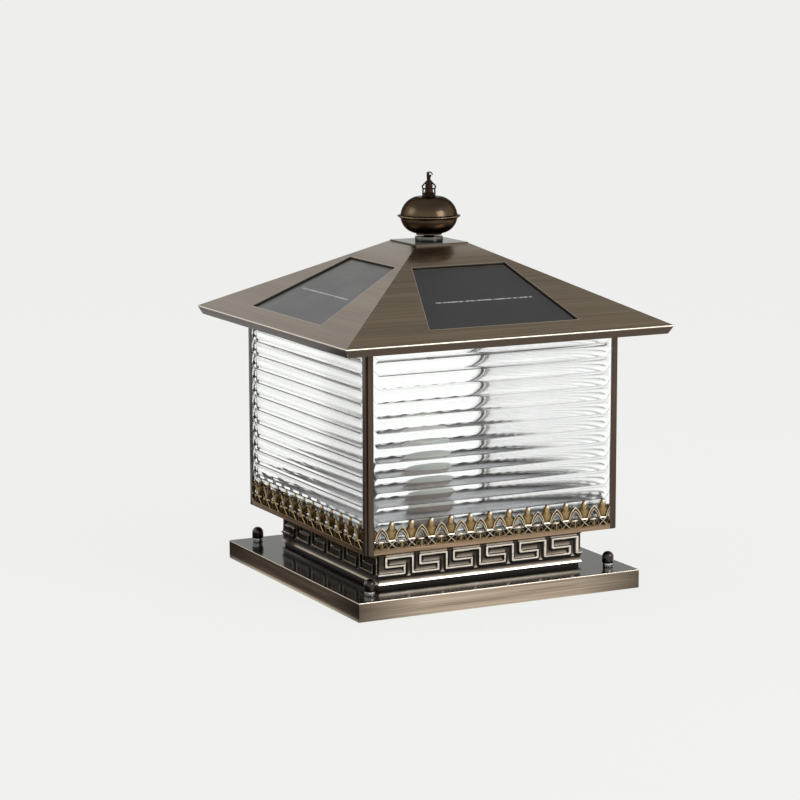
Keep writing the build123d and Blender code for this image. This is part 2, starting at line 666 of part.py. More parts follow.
def control_box():
    """The control box's tray, with four bosses for the board."""
    box = tray_box(*BOX_X)
    for sx in (-1, 1):
        for sy in (-1, 1):
            x = BOX_CENTER_X + sx * (BOARD_HALF_X - BOARD_BOSS_RADIUS)
            y = sy * (BOARD_HALF_Y - BOARD_BOSS_RADIUS)
            box += rod(BOARD_BOSS_RADIUS, BOX_FLOOR, BOARD_BOTTOM, x, y)
    return control_openings(box, SOFFIT_TOP, BOX_FLOOR)


def control_lid():
    """The control box's lid, with a rim that drops inside."""
    top = SOFFIT_TOP + BOX_HEIGHT
    half = BOX_LENGTH / 2
    lid = slab(BOX_X[0], BOX_X[1], -half, half, top, top + BOX_WALL)
    inset = BOX_WALL + FIT
    rim = slab(BOX_X[0] + inset, BOX_X[1] - inset, -half + inset, half - inset, top - 2 * BOX_WALL, top)
    deep = inset + BOX_WALL
    rim -= slab(BOX_X[0] + deep, BOX_X[1] - deep, -half + deep, half - deep, top - 2 * BOX_WALL, top)
    return lid + rim


def circuit_board():
    """The controller board with its larger parts."""
    x0 = BOX_CENTER_X - BOARD_HALF_X
    x1 = BOX_CENTER_X + BOARD_HALF_X
    top = BOARD_BOTTOM + BOARD_THICKNESS
    board = slab(x0, x1, -BOARD_HALF_Y, BOARD_HALF_Y, BOARD_BOTTOM, top)
    coil_height = 0.3 * BOX_HEIGHT
    board += rod(0.16 * BOX_WIDTH, top, top + coil_height, BOX_CENTER_X + 0.2 * BOX_WIDTH, 0.2 * BOX_LENGTH)
    board += rod(0.07 * BOX_WIDTH, top, top + coil_height, BOX_CENTER_X - 0.2 * BOX_WIDTH, 0.25 * BOX_LENGTH)
    chip = Box(0.3 * BOX_WIDTH, 0.12 * BOX_LENGTH, BOARD_THICKNESS)
    return board + Pos(BOX_CENTER_X, -0.2 * BOX_LENGTH, top + BOARD_THICKNESS / 2) * chip


def battery_case():
    """A tray that holds the cells side by side."""
    return tray_box(-BOX_X[1], -BOX_X[0])


def battery_cells():
    """Round cells lying along the case."""
    room = BOX_WIDTH - 2 * BOX_WALL
    pitch = room / CELL_COUNT
    cells = []
    for index in range(CELL_COUNT):
        x = -BOX_CENTER_X - room / 2 + (index + 0.5) * pitch
        cells.append(Pos(x, 0, BOX_FLOOR + CELL_RADIUS) * Rot(90, 0, 0) * Cylinder(CELL_RADIUS, CELL_LENGTH))
    return Compound(children=cells)


def receiver_lens():
    """The small dome under the reflector that the control signal enters through."""
    foot = SOFFIT_BOTTOM - REFLECTOR_SHEET
    stem = rod(LENS_RADIUS, foot - LENS_REACH, BOX_FLOOR, BOX_CENTER_X, LENS_OFFSET_Y)
    return fillet(stem.edges().group_by(Axis.Z)[0], 0.5 * LENS_RADIUS)


def power_button():
    """A push button that comes down through the reflector, with a flange inside the box."""
    foot = SOFFIT_BOTTOM - REFLECTOR_SHEET - BUTTON_REACH
    seat = BOX_FLOOR + LOOSE
    stem = rod(BUTTON_RADIUS, foot, seat, BOX_CENTER_X, BUTTON_OFFSET_Y)
    stem = fillet(stem.edges().group_by(Axis.Z)[0], 0.2 * BUTTON_RADIUS)
    flange_top = seat + BUTTON_FLANGE_THICKNESS
    return stem + rod(BUTTON_RADIUS + BUTTON_FLANGE, seat, flange_top, BOX_CENTER_X, BUTTON_OFFSET_Y)


def finial_collar():
    """A bright ring between the roof and the finial."""
    ring = rod(FINIAL_COLLAR_RADIUS, CAP_TOP, COLLAR_TOP)
    ring = chamfer(ring.edges().group_by(Axis.Z)[-1], FINIAL_COLLAR_BEVEL)
    return ring - rod(ROD_RADIUS + LOOSE, CAP_TOP, COLLAR_TOP)


def lower_bowl_form(inset):
    """The lower bowl's outer form, or its hollow at some inset."""
    foot = FINIAL_FOOT_RADIUS - inset
    rim = FINIAL_BODY_RADIUS - inset
    low = FINIAL_BOTTOM + inset
    bend = FINIAL_BOTTOM + FINIAL_FOOT_HEIGHT + inset
    belly = (0.28 * foot + 0.72 * rim, bend + 0.33 * (FINIAL_SEAM - bend))
    sides = Polyline((rim, FINIAL_SEAM), (0, FINIAL_SEAM), (0, low), (foot, low), (foot, bend))
    return turned(sides + ThreePointArc((foot, bend), belly, (rim, FINIAL_SEAM)))


def upper_bowl_form(inset):
    """The upper bowl's outer form, or its hollow at some inset."""
    crown = FINIAL_FOOT_RADIUS - inset
    rim = FINIAL_BODY_RADIUS - inset
    high = CROWN_BOTTOM - inset
    shoulder = (0.3 * crown + 0.7 * rim, FINIAL_SEAM + 0.64 * (high - FINIAL_SEAM))
    sides = Polyline((crown, high), (0, high), (0, FINIAL_SEAM), (rim, FINIAL_SEAM))
    return turned(sides + ThreePointArc((rim, FINIAL_SEAM), shoulder, (crown, high)))


def seam_flange(height):
    """One half of the seam's sharp rim: a thin edge and a cone back to the body, above or below the seam."""
    edge = math.copysign(FINIAL_FLANGE_EDGE, height)
    rim = FINIAL_FLANGE_RADIUS
    outline = [(0, 0), (rim, 0), (rim, edge), (FINIAL_BODY_RADIUS - FINIAL_SHELL, height), (0, height)]
    return Pos(0, 0, FINIAL_SEAM) * turned(Polyline(*outline, close=True))


def finial_lower_bowl():
    """The lower spun bowl with its neck and half of the seam flange."""
    shell = lower_bowl_form(0) + seam_flange(-FINIAL_FLANGE_UNDER) - lower_bowl_form(FINIAL_SHELL)
    shell += rod(FINIAL_NECK_RADIUS, COLLAR_TOP, FINIAL_BOTTOM)
    return shell - rod(ROD_RADIUS + LOOSE, COLLAR_TOP, FINIAL_BOTTOM + FINIAL_SHELL)


def finial_upper_bowl():
    """The upper spun bowl with the other half of the seam flange."""
    shell = upper_bowl_form(0) + seam_flange(FINIAL_FLANGE_TOP) - upper_bowl_form(FINIAL_SHELL)
    return shell - rod(CROWN_BOSS_RADIUS + FIT, CROWN_BOTTOM - FINIAL_SHELL, CROWN_BOTTOM)


def crown_loop():
    """An open handle beside the crown's stem, in the plane of radius and height."""
    foot = (0.75 * CROWN_BASE_RADIUS, 0.5 * CROWN_BASE_HEIGHT)
    knee = (0.72 * CROWN_LOOP_RADIUS, 0.84 * CROWN_LOOP_HEIGHT)
    tip = (CROWN_LOOP_RADIUS - CROWN_LOOP_STROKE / 2, CROWN_LOOP_HEIGHT)
    inner = (0.5 * CROWN_STEM_RADIUS, 0.72 * CROWN_LOOP_HEIGHT)
    neck = (0.5 * CROWN_NECK_RADIUS, CROWN_NECK_HEIGHT - CROWN_LOOP_STROKE)
    flat = stroke(*foot, *knee, CROWN_LOOP_STROKE)
    flat += stroke(*knee, *tip, CROWN_LOOP_STROKE)
    flat += stroke(*tip, *neck, CROWN_LOOP_STROKE)
    flat += stroke(*knee, *inner, CROWN_LOOP_STROKE)
    return extrude(Plane.XZ * flat, CROWN_LOOP_STROKE / 2, both=True)


def finial_crown():
    """The cast knob: a threaded boss, a flared foot, a stem with four loops, and a bud with a curl."""
    bud_middle = CROWN_NECK_HEIGHT + 0.5 * (CROWN_HEIGHT - CROWN_NECK_HEIGHT)
    outline = Polyline(
        (0, CROWN_HEIGHT), (0, 0), (CROWN_BASE_RADIUS, 0), (0.92 * CROWN_BASE_RADIUS, 0.4 * CROWN_BASE_HEIGHT),
        (CROWN_STEM_RADIUS, 1.6 * CROWN_BASE_HEIGHT), (CROWN_STEM_RADIUS, CROWN_LOOP_HEIGHT),
        (CROWN_NECK_RADIUS, CROWN_NECK_HEIGHT),
    )
    bud = ThreePointArc((CROWN_NECK_RADIUS, CROWN_NECK_HEIGHT), (CROWN_BUD_RADIUS, bud_middle), (0, CROWN_HEIGHT))
    crown = turned(outline + bud)
    for index in range(CROWN_LOOP_COUNT):
        crown += Rot(0, 0, CROWN_TURN_DEG + 360 / CROWN_LOOP_COUNT * index) * crown_loop()
    curl_path = CenterArc((0.5 * CROWN_BUD_RADIUS, bud_middle), CROWN_BUD_RADIUS, 0, 80)
    curl_start = Plane(origin=curl_path @ 0, z_dir=curl_path % 0)
    curl = sweep(curl_start * Circle(0.3 * CROWN_BUD_RADIUS), curl_path)
    crown += Rot(0, 0, CROWN_TURN_DEG) * Rot(90, 0, 0) * curl
    boss = rod(CROWN_BOSS_RADIUS, -CROWN_BOSS_LENGTH, 0)
    thread = rod(ROD_RADIUS + FIT, -CROWN_BOSS_LENGTH, CROWN_THREAD_DEPTH - CROWN_BOSS_LENGTH)
    return Pos(0, 0, CROWN_BOTTOM) * (crown + boss - thread)


def all_pieces():
    """Every node's name and shape."""
    pieces = {}
    pieces["base_plate"] = base_plate()
    pieces["anchor_collars"] = anchor_collars()
    pieces["anchor_cap_nuts"] = anchor_cap_nuts()
    pieces["plinth_core"] = plinth_core()
    on_four_sides("fret_panel", fret_panel(), pieces)
    flange_top = BASE_HEIGHT + PLINTH_SHEET
    pieces["plinth_screws"] = Compound(children=[screw(x, y, flange_top, "down") for x, y in PLINTH_SCREWS])
    pieces["floor_tray"] = floor_tray()
    pieces["floor_screws"] = Compound(children=[screw(x, y, FLOOR_TOP, "down") for x, y in PLINTH_SCREWS])
    post = corner_post()
    for index, corner in enumerate(CORNERS):
        pieces[f"corner_post_{corner}"] = Rot(0, 0, 90 * index) * post
    on_four_sides("pane", pane(), pieces)
    on_four_sides("frieze", frieze(), pieces)
    pieces["pane_pads"] = pane_pads()
    pieces["pane_clips"] = pane_clips()
    pieces["top_frame"] = top_frame()
    pieces["roof_gasket"] = roof_gasket()
    pieces["spider_bar"] = spider_bar()
    pieces["center_rod"] = center_rod()
    pieces["rod_nuts"] = rod_nuts()
    pieces["lamp_can"] = lamp_can()
    pieces["led_board"] = led_board()
    pieces["led_chips"] = led_chips()
    pieces["lamp_diffuser"] = lamp_diffuser()
    on_four_sides("roof_sheet", roof_sheet(), pieces)
    pieces["roof_cap"] = roof_cap()
    on_four_sides("solar_panel", solar_panel(), pieces)
    pieces["panel_seals"] = panel_seals()
    pieces["soffit_plate"] = soffit_plate()
    pieces["reflector_plate"] = reflector_plate()
    pieces["soffit_screws"] = Compound(children=[screw(x, y, SOFFIT_BOTTOM, "up") for x, y in SOFFIT_SCREWS])
    pieces["roof_gussets"] = roof_gussets()
    pieces["control_box"] = control_box()
    pieces["control_lid"] = control_lid()
    pieces["circuit_board"] = circuit_board()
    pieces["battery_case"] = battery_case()
    pieces["battery_cells"] = battery_cells()
    pieces["receiver_lens"] = receiver_lens()
    pieces["power_button"] = power_button()
    pieces["finial_collar"] = finial_collar()
    pieces["finial_lower_bowl"] = finial_lower_bowl()
    pieces["finial_upper_bowl"] = finial_upper_bowl()
    pieces["finial_crown"] = finial_crown()
    return pieces


os.makedirs("parts", exist_ok=True)
for node, shape in all_pieces().items():
    export_step(shape, f"parts/{node}.step")
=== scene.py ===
import math

import bpy
import numpy as np
from mathutils import Euler, Matrix, Vector


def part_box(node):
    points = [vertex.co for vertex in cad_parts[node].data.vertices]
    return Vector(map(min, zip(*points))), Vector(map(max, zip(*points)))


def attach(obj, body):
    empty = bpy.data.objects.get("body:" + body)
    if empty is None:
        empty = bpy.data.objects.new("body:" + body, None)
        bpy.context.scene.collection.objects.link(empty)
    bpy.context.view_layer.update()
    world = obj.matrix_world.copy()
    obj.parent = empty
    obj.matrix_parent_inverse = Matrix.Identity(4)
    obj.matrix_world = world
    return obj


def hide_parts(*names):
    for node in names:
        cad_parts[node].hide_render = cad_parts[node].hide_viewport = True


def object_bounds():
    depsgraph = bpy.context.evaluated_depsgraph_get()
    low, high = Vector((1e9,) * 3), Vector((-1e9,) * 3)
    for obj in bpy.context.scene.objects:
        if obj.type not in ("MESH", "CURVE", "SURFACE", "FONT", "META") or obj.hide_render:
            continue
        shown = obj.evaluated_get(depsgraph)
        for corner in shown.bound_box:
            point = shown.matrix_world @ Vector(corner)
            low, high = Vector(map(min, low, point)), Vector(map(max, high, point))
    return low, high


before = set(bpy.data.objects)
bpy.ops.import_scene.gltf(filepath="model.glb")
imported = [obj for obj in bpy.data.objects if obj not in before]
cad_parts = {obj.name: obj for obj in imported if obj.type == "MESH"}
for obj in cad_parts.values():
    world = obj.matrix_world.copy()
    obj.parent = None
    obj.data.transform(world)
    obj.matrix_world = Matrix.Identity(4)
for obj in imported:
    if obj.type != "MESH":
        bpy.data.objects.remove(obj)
CAD_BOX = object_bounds()

bl_info = {
    "name": "Solar pillar light",
    "version": (1, 0, 0),
    "blender": (4, 5, 0),
    "location": "View3D > Sidebar > Pillar light",
    "description": "Dresses a solar pillar light: bronze sheet, fluted panes, cast friezes and a finial",
    "category": "Add Mesh",
}

# Lengths in this file are metres, worked out from millimetres. The front of the light faces -Y.
MM = 0.001
SIDES = ("front", "right", "back", "left")
CORNERS = ("front_left", "front_right", "back_right", "back_left")


# Settings a user would change


def linear(colour):
    """An sRGB hex colour as linear red, green, blue and an alpha of one."""
    channels = np.array([int(colour[i : i + 2], 16) for i in (1, 3, 5)]) / 255
    toe = channels / 12.92
    curve = ((channels + 0.055) / 1.055) ** 2.4
    return (*np.where(channels <= 0.04045, toe, curve).tolist(), 1.0)


def size(name, description, millimetres):
    """A length setting with a default in millimetres."""
    return bpy.props.FloatProperty(
        name=name, description=description, default=millimetres * MM, min=0.0, unit="LENGTH", precision=5
    )


def how_many(name, description, number):
    """A setting for a number of like things."""
    return bpy.props.IntProperty(name=name, description=description, default=number, min=1)


def tint(name, description, colour):
    """A colour setting with an sRGB hex default."""
    return bpy.props.FloatVectorProperty(
        name=name, description=description, default=linear(colour), size=4, min=0.0, max=1.0, subtype="COLOR"
    )


def amount(name, description, value, unit="NONE"):
    """A plain setting with its default and its kind of unit."""
    return bpy.props.FloatProperty(name=name, description=description, default=value, unit=unit)


class LightSizes(bpy.types.PropertyGroup):
    """Sizes of the pieces that are modelled here over the frame."""

    pane_web: size("Pane web", "Clear sheet left behind the flutes", 2.5)
    flute_count: how_many("Flutes", "Hollow flutes across each pane", 14)
    flute_end: size("Flute ends", "Distance of the flutes' round ends from the middle", 125.0)
    fret_relief: size("Fret relief", "Height of the key fret over its field", 1.5)
    fret_crest: size("Fret crest", "Width of the fret's flat crest", 1.8)
    fret_foot: size("Fret foot band", "Height of the plain band under the fret", 6.0)
    fret_head: size("Fret head band", "Height of the plain band over the fret", 7.4)
    fret_inset: size("Fret inset", "From a plain band to the middle of the nearest ridge", 3.0)
    fret_margin: size("Fret margin", "Length left over at the fret's right end", 5.0)
    fret_units: how_many("Fret units", "Keys on each side of the plinth", 6)
    frieze_pitch: size("Frieze pitch", "Distance between two leaves of the frieze", 20.6)
    frieze_first: size("Frieze shift", "How far the leaves sit right of an even layout", 5.4)
    frieze_stroke: size("Frieze stroke", "Width of the frieze's raised lines", 1.5)
    fold_radius: size("Eave fold", "Outside radius of the roof sheet's fold", 1.3)
    roof_sheet: size("Roof sheet", "Thickness of the roof sheet", 1.0)
    window_rim: size("Window rim", "Width of the bright rim round the roof windows", 0.9)
    roof_top: size("Roof top", "Half-width of the roof at its flat cap", 28.0)
    lip_inset: size("Lip inset", "How far the lip's foot lies behind the eave", 4.0)
    lip_drop: size("Lip drop", "Height of the lip under the eave", 8.0)
    lip_gap: size("Lip gap", "Gap between two lips at a corner of the roof", 0.8)
    window_low: size("Window foot", "Slope from the eave to the window", 21.5)
    window_high: size("Window head", "Slope from the window to the cap", 37.1)
    window_low_side: size("Window side, foot", "From the window's lower corner to the hip", 74.3)
    window_high_side: size("Window side, head", "From the window's upper corner to the hip", 11.4)
    nut_radius: size("Cap nut", "Radius of the anchors' cap nuts", 5.7)
    collar_radius: size("Anchor collar", "Radius of the anchors' collars", 5.0)
    finial_foot: size("Finial foot", "Radius of the finial's flat foot and top", 12.6)
    finial_body: size("Finial body", "Radius of the finial's bowls at their seam", 27.6)
    crown_stroke: size("Crown stroke", "Thickness of the crown's open handles", 1.5)


class LightColours(bpy.types.PropertyGroup):
    """Colours of the main finishes."""

    roof_dark: tint("Roof, dark", "Dark streaks of the roof's brushed bronze", "#74644F")
    roof_light: tint("Roof, light", "Light streaks of the roof's brushed bronze", "#9B8A73")
    # Painted highlight: the pale edge colour on the roof's eave folds and window rims and the base's top
    # edge.
    edge: tint("Rubbed edges", "Bronze rubbed bright along folds and ridges", "#F2E8D8")
    # Painted shade: the dark lip under the eave.
    lip: tint("Roof lip", "Dark lip under the eave", "#544639")
    # Painted light: the base sides' pale tones stand in for the bright floor they reflect.
    side_dark: tint("Base side, dark", "Dark streaks of the base plate's sides", "#7A6C5E")
    side_light: tint("Base side, light", "Light streaks of the base plate's sides", "#DAC7B0")
    base_top: tint("Base top", "Dark lacquer on the base plate's top", "#1C1511")
    rail: tint("Rail", "Brushed bottom rail", "#C0A284")
    post: tint("Posts", "Corner posts", "#5B4B3C")
    fret_field: tint("Fret field", "Sunken field of the key fret", "#6A625A")
    frieze_brown: tint("Frieze, brown", "Brown brass of the frieze's cups", "#7F6A48")
    frieze_gold: tint("Frieze, gold", "Yellow brass of the frieze's lines", "#C9B080")
    finial: tint("Finial", "Satin bronze of the finial's bowls", "#5E5040")
    cast: tint("Cast bronze", "Dark cast bronze of the crown and cap nuts", "#3A2C22")
    cell: tint("Solar cell", "Dark film of the solar panels", "#1B1B1E")


class LightStage(bpy.types.PropertyGroup):
    """Camera and lights."""

    lens: amount("Lens", "Focal length on a 36 mm sensor", 119.69, "CAMERA")
    place: bpy.props.FloatVectorProperty(
        name="Camera place", description="Where the camera stands", default=(-1.1795, -2.2761, 0.6045),
        subtype="TRANSLATION", unit="LENGTH", precision=4,
    )
    yaw: amount("Yaw", "Turn of the camera to the right of +Y", math.radians(26.76), "ROTATION")
    pitch: amount("Pitch", "Tilt of the camera below the horizon", math.radians(9.567), "ROTATION")
    roll: amount("Roll", "Turn of the camera about its own axis", math.radians(-0.134), "ROTATION")
    backdrop: tint("Backdrop", "Floor and backdrop", "#F4F4F2")
    key_power: amount("Key light", "Soft light at the front right", 13.0, "POWER")
    fill_power: amount("Fill light", "Soft light at the left", 4.5, "POWER")
    room_strength: amount("Room light", "Even light from all sides on matt surfaces", 0.55)
    ceiling_strength: amount("Ceiling", "Brightness of the room overhead, as metal shows it", 0.47)
    paper_glow: amount("Paper glow", "Share of the backdrop that shows its own colour, without shadow", 0.88)
    pane_gain: amount("Pane gain", "Brightness of the backdrop behind the clear panes", 1.2)
    # Painted shade: a dark sheet that only metal reflects, to darken the light's left faces.
    flag: tint("Flag", "Dark cloth on the floor at the left, which only metal shows", "#4A443E")


# Surfaces as grids of points


def skin(grid, ring=False):
    """A closed shell over a grid of points whose columns run round. Its rows run round as well, or the first
    and last rows are closed with flat caps. Faces are turned outwards by the sign of the shell's volume."""
    rows, columns = grid.shape[:2]
    index = np.arange(rows * columns).reshape(rows, columns)
    beside = np.roll(index, -1, axis=1)
    above = np.roll(index, -1, axis=0)
    across = np.roll(above, -1, axis=1)
    quads = np.stack([index, beside, across, above], axis=-1)
    quads = quads.reshape(-1, 4) if ring else quads[:-1].reshape(-1, 4)
    faces = quads.tolist()
    if not ring:
        faces += [index[0, ::-1].tolist(), index[-1].tolist()]
    points = grid.reshape(-1, 3)
    a, b, c, d = (points[quads[:, corner]] for corner in range(4))
    volume = np.sum(a * np.cross(b, c)) + np.sum(a * np.cross(c, d))
    if not ring:
        for row in (index[0, ::-1], index[-1]):
            fan = points[row]
            volume += np.sum(fan[0] * np.cross(fan[1:-1], fan[2:]))
    if volume < 0:
        faces = [face[::-1] for face in faces]
    return points, faces


def plate(front, back, keep=None):
    """A closed sheet between two grids of points, with walls along its open edges. Cells that aren't kept are
    holes. Faces are turned outwards by the sign of the sheet's volume."""
    rows, columns = front.shape[:2]
    count = rows * columns
    index = np.arange(count).reshape(rows, columns)
    cells = np.stack([index[:-1, :-1], index[1:, :-1], index[1:, 1:], index[:-1, 1:]], axis=-1)
    cells = cells.reshape(-1, 4) if keep is None else cells[keep]
    starts, ends = cells.ravel(), np.roll(cells, -1, axis=1).ravel()
    lone = ~np.isin(starts * count + ends, ends * count + starts)
    a, b = starts[lone], ends[lone]
    walls = np.stack([b, a, a + count, b + count], axis=1)
    quads = np.concatenate([cells, cells[:, ::-1] + count, walls])
    points = np.concatenate([front.reshape(-1, 3), back.reshape(-1, 3)])
    a, b, c, d = (points[quads[:, corner]] for corner in range(4))
    if np.sum(a * np.cross(b, c)) + np.sum(a * np.cross(c, d)) < 0:
        quads = quads[:, ::-1]
    return points, quads.tolist()


def tube(path, width, depth, lift, around=8, ring=False):
    """An elliptical section carried along a flat path: across the path it measures the width, and out of the
    plane the depth about a lift. Open ends are rounded by rings that shrink as a cosine."""
    path = np.asarray(path, float)
    if ring:
        tangent = np.roll(path, -1, axis=0) - np.roll(path, 1, axis=0)
    else:
        tangent = np.gradient(path, axis=0)
    tangent = tangent / np.linalg.norm(tangent, axis=1, keepdims=True)
    scale = np.ones(len(path))
    if not ring:
        swing = np.radians([75.0, 45.0, 20.0])
        reach = (width / 2 * np.sin(swing))[:, None]
        path = np.concatenate([path[0] - reach * tangent[0], path, path[-1] + reach[::-1] * tangent[-1]])
        scale = np.concatenate([np.cos(swing), scale, np.cos(swing)[::-1]])
        tangent = np.concatenate([tangent[:1].repeat(3, 0), tangent, tangent[-1:].repeat(3, 0)])
    normal = np.stack([-tangent[:, 1], tangent[:, 0]], axis=1)
    angle = np.linspace(0, 2 * np.pi, around, endpoint=False)
    flat = path[:, None] + normal[:, None] * (scale[:, None] * width / 2 * np.cos(angle))[..., None]
    height = lift + scale[:, None] * depth / 2 * np.sin(angle)
    return skin(np.concatenate([flat, height[..., None]], axis=2), ring)


def pillow(outline, middle, depth, rings=5):
    """A domed form on a flat back: the outline shrinks to its middle as a cosine while it rises as a sine."""
    swing = np.radians(np.linspace(0, 82, rings))
    flat = middle + np.cos(swing)[:, None, None] * (np.asarray(outline) - middle)
    height = np.broadcast_to((depth * np.sin(swing))[:, None, None], (*flat.shape[:2], 1))
    return skin(np.concatenate([flat, height], axis=2))


def lathe(profile, segments):
    """A profile of radius and height turned about Z, closed with flat caps at both ends."""
    profile = np.asarray(profile, float)
    angle = np.linspace(0, 2 * np.pi, segments, endpoint=False)
    radius, height = profile[:, :1], np.broadcast_to(profile[:, 1:], (len(profile), segments))
    return skin(np.stack([radius * np.cos(angle), radius * np.sin(angle), height], axis=2))


def arc(start, middle, end, count):
    """Points along the circle through three points, from the first to the last."""
    a, b, c = (complex(*point) for point in (start, middle, end))
    w = (c - a) / (b - a)
    centre = (b - a) * (w - abs(w) ** 2) / (2j * w.imag) + a
    turn = np.angle((c - centre) / (a - centre))
    part = np.angle((b - centre) / (a - centre))
    if abs(part) > abs(turn) or turn * part < 0:
        turn -= math.copysign(2 * np.pi, turn)
    points = centre + (a - centre) * np.exp(1j * turn * np.linspace(0, 1, count))
    return np.stack([points.real, points.imag], axis=1)


def rounded(corners, radius, steps=4):
    """An open outline whose inner corners are rounded by quadratic curves that start a radius before each."""
    corners = np.asarray(corners, float)
    before = corners[:-2] - corners[1:-1]
    after = corners[2:] - corners[1:-1]
    room_before = np.linalg.norm(before, axis=1, keepdims=True)
    room_after = np.linalg.norm(after, axis=1, keepdims=True)
    entry = corners[1:-1] + before / room_before * np.minimum(radius, 0.45 * room_before)
    leave = corners[1:-1] + after / room_after * np.minimum(radius, 0.45 * room_after)
    t = np.linspace(0, 1, steps)[None, :, None]
    bends = (1 - t) ** 2 * entry[:, None] + 2 * t * (1 - t) * corners[1:-1][:, None] + t**2 * leave[:, None]
    return np.concatenate([corners[:1], bends.reshape(-1, 2), corners[-1:]])


# The radius of the flat caps that close a turned piece at its axis.
CORE = 0.5 * MM


def disc(radius, low, high, segments):
    """A flat disc about Z between two heights, turned with rounded edges."""
    corners = [(CORE, low), (radius, low), (radius, high), (CORE, high)]
    return lathe(rounded(corners, 0.5 * MM), segments)


def join(shells):
    """Several shells as one list of points and faces."""
    points, faces, count = [], [], 0
    for shell_points, shell_faces in shells:
        points.append(shell_points)
        faces += [[corner + count for corner in face] for face in shell_faces]
        count += len(shell_points)
    return np.concatenate(points), faces


def turned(points, quarter_turns):
    """Points turned about Z by whole quarter turns."""
    cos, sin = ((1, 0), (0, 1), (-1, 0), (0, -1))[quarter_turns % 4]
    x, y, z = points.T
    return np.stack([cos * x - sin * y, sin * x + cos * y, z], axis=1)


def piece(name, shape, material, body, slot, *replaced, crease=35.0, polish_and_painted_light=None):
    """A smooth mesh object with creases above an angle, riding on a body in place of some frame nodes. Its
    points carry their polish, where that is given; on the roof, the panes, the fret and the frieze it also
    holds painted highlights and shade."""
    points, faces = shape
    mesh = bpy.data.meshes.new(name)
    mesh.from_pydata(points.tolist(), [], faces)
    mesh.polygons.foreach_set("use_smooth", np.ones(len(mesh.polygons), bool))
    mesh.set_sharp_from_angle(angle=math.radians(crease))
    mesh.materials.append(material)
    if polish_and_painted_light is not None:
        mesh.attributes.new("polish_and_painted_light", "FLOAT", "POINT").data.foreach_set("value", polish_and_painted_light.astype(np.float32))
    made = bpy.data.objects.new(name, mesh)
    bpy.context.collection.objects.link(made)
    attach(made, body)
    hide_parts(*replaced)


# Finishes


def add(tree, kind, sockets=None, **settings):
    """One node with its settings. Each named socket gets an output's link, a value or an sRGB hex colour."""
    made = tree.nodes.new(kind)
    for key, value in settings.items():
        setattr(made, key, value)
    for key, value in (sockets or {}).items():
        if isinstance(value, bpy.types.NodeSocket):
            tree.links.new(value, made.inputs[key])
        else:
            made.inputs[key].default_value = linear(value) if isinstance(value, str) else value
    return made


def begin(name):
    """An empty material, its node tree and its Object coordinates."""
    material = bpy.data.materials.new(name)
    material.use_nodes = True
    tree = material.node_tree
    tree.nodes.clear()
    return material, tree, add(tree, "ShaderNodeTexCoord").outputs["Object"]


def grain(tree, place, cell, detail=4.0):
    """A noise from 0 to 1 whose cells measure some millimetres along X, Y and Z."""
    scale = [1 / (MM * length) for length in cell]
    scaled = add(tree, "ShaderNodeMapping", {"Vector": place, "Scale": scale})
    noise = add(tree, "ShaderNodeTexNoise", {"Vector": scaled.outputs[0], "Scale": 1.0, "Detail": detail})
    spread = add(tree, "ShaderNodeMapRange", {0: noise.outputs[0], 1: 0.3, 2: 0.7})
    return spread.outputs[0]


def close(tree, constants, colour, pattern, rough, bump):
    """A Principled surface: a colour, a roughness that follows a pattern between two values, and a bump depth
    in millimetres."""
    shine = add(tree, "ShaderNodeMapRange", {0: pattern, 3: rough[0], 4: rough[1]})
    relief = add(tree, "ShaderNodeBump", {"Height": pattern, "Strength": 1.0, "Distance": bump * MM})
    sockets = {"Base Color": colour, "Roughness": shine.outputs[0], "Normal": relief.outputs[0], **constants}
    shader = add(tree, "ShaderNodeBsdfPrincipled", sockets)
    add(tree, "ShaderNodeOutputMaterial", {"Surface": shader.outputs[0]})


def finish(name, dark, light, cell, rough, bump=0.0, broad=(60.0, 60.0, 60.0), over=None, **constants):
    """A surface whose colour runs between two tones: a fine grain for most of it, and broad clouds for the
    rest. A function may lay further tones over that colour."""
    material, tree, place = begin(name)
    fine = grain(tree, place, cell)
    cloud = grain(tree, place, broad, detail=2.0)
    tone = add(tree, "ShaderNodeMix", {0: 0.4, 2: fine, 3: cloud}, data_type="FLOAT").outputs[0]
    colour = add(tree, "ShaderNodeMix", {0: tone, 6: dark, 7: light}, data_type="RGBA").outputs[2]
    if over is not None:
        colour = over(tree, place, colour)
    constants = {key.replace("_", " "): value for key, value in constants.items()}
    close(tree, constants, colour, fine, rough, bump)
    return material


LACQUER = {"Coat_Weight": 0.4, "Coat_Roughness": 0.12}

# Lengths and widths of the roof's fine streaks and broad clouds, in millimetres.
STREAK = (160.0, 1.7)
CLOUD = (260.0, 14.0)


